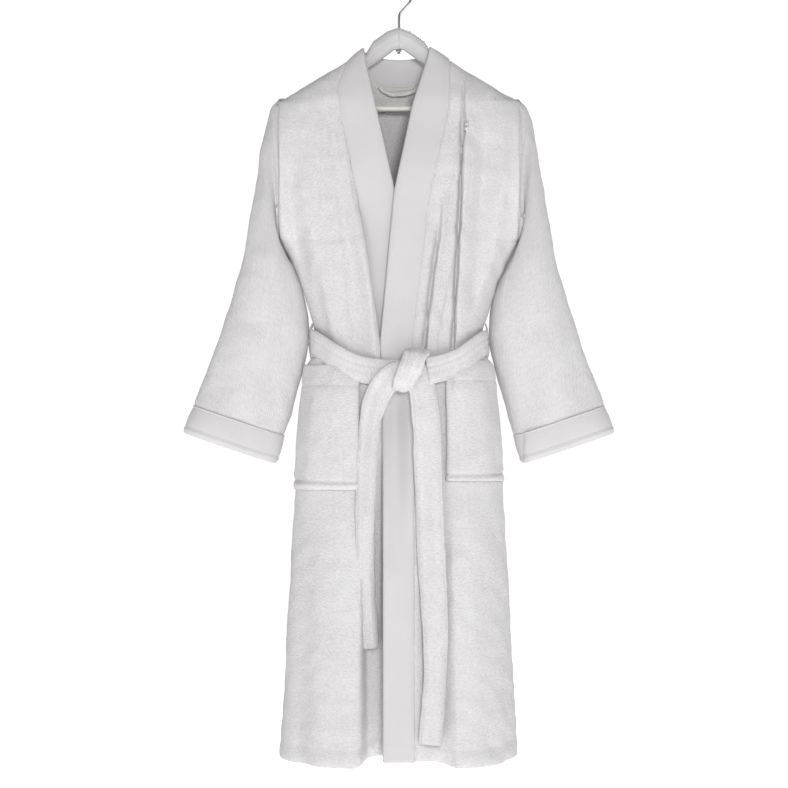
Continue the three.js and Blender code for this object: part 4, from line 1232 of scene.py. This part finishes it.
knot_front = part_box("belt_knot")[0].y
wrap_line = smooth_path([
    (0.029, knot_front + 0.036, -0.640), (0.029, knot_front + 0.020, -0.627),
    (0.026, knot_front + 0.005, -0.634), (0.018, knot_front + 0.001, -0.656),
    (0.009, knot_front + 0.008, -0.680), (0.006, knot_front + 0.022, -0.691),
    (0.006, knot_front + 0.038, -0.684)], 90)
along = unit(np.gradient(wrap_line, axis=0))
tilt = 2.0 * np.sin(np.linspace(1.5, -1.5, len(wrap_line)))
away = np.array([0, -1.0, 0]) + tilt[:, None] * np.array([0, 0, 1.0])
across = unit(np.cross(along, away))
away = unit(np.cross(across, along))
knot_middle = np.array([0.018, knot_front + 0.036, -0.659])
away *= np.sign((away * (wrap_line - knot_middle)).sum(1))[:, None]
knot, edges = ribbon(
    "knot", wrap_line, across, away, np.linspace(0.044, 0.036, 90), 0.012, terry,
    grooves=[(0.45, -0.0016, 0.10), (-0.1, 0.0010, 0.2), (-0.5, -0.0014, 0.10)], seed=99)
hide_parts("belt_knot")
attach(knot, "robe")

# ---------------------------------------------------------------- Belt loops
# A narrow strip of folded terry at each side seam, sewn down at both ends, that holds the belt.
for side, name in ((-1, "right"), (1, "left")):
    loop_low, loop_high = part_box(f"{name}_belt_loop")
    reach_x = 0.1525
    root_x = float(half_width(waist_height)) + 0.001
    line = smooth_path([
        (side * (root_x + 0.006), 0, loop_high.z + 0.006),
        (side * (root_x + 0.009), 0, loop_high.z - 0.002),
        (side * reach_x, -0.001, loop_high.z - 0.012),
        (side * (reach_x + 0.001), -0.002, waist_height),
        (side * reach_x, -0.001, loop_low.z + 0.012),
        (side * (root_x + 0.009), 0, loop_low.z + 0.002),
        (side * (root_x + 0.006), 0, loop_low.z - 0.006)], 60)
    along = unit(np.gradient(line, axis=0))
    across = np.tile([0, 1.0, 0], (60, 1))
    away = unit(np.cross(across, along))
    away *= np.sign((away * np.array([side, 0, 0])).sum(1) + 1e-6)[:, None]
    loop, edges = ribbon(
        f"{name}_loop", line, across, away, 0.011, 0.0028, velour, seed=111 + side, cols=12)
    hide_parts(f"{name}_belt_loop")
    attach(loop, "robe")

# ---------------------------------------------------------------- Hanging loop and label
# A bunched loop of cream tape caught in the neck seam, and a small blank woven label below it.
# The second colour is the painted shade in the gaps of the tape's weave.
tape = soft_finish(
    "tape", (0.74, 0.72, 0.68), (0.62, 0.60, 0.56), 1400, 700, 1600, 0.5, 0.0004, 0.1)
loop_low, loop_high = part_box("hanging_loop")
loop_y = loop_low.y + 0.002
line = smooth_path([
    (loop_low.x, loop_y + 0.003, loop_high.z + 0.010),
    (loop_low.x + 0.006, loop_y, loop_high.z + 0.002),
    (-0.012, loop_y - 0.002, loop_low.z + 0.001),
    (0.010, loop_y - 0.002, loop_low.z + 0.003),
    (loop_high.x - 0.006, loop_y, loop_high.z + 0.002),
    (loop_high.x, loop_y + 0.003, loop_high.z + 0.010)], 70)
along = unit(np.gradient(line, axis=0))
across = unit(np.cross(along, np.tile([0.0, 1.0, 0.0], (70, 1))))
twist = 0.5 * np.sin(np.linspace(0, 9, 70))[:, None]
across = unit(across + twist * np.array([0, 1.0, 0]))
away = unit(np.cross(across, along))
hang, edges = ribbon("hanging_tape", line, across, away, 0.009, 0.0026, tape,
                     grooves=[(0.0, -0.0008, 0.3)], seed=121, cols=12)
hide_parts("hanging_loop")
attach(hang, "robe")

label_low, label_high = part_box("neck_label")
u = np.linspace(0, 1, 40)[None, :]
v = np.linspace(0, 1, 24)[:, None]
x = label_low.x + (label_high.x - label_low.x) * u + 0 * v
z = label_high.z + (label_low.z - label_high.z) * v + 0.0008 * np.sin(u * 5)
y = label_low.y + 0.0004 + 0.0008 * np.sin(u * 7 + v * 2) + 0 * x
net = np.stack([x, y, z], -1)
normal, _ = net_normals(net, to_front)
label = cloth("blank_label", net, to_front, tape, 0.0009)
sew(label, [row_line(net, normal, 0.002, False), row_line(net, normal, 0.002)])
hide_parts("neck_label")
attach(label, "robe")
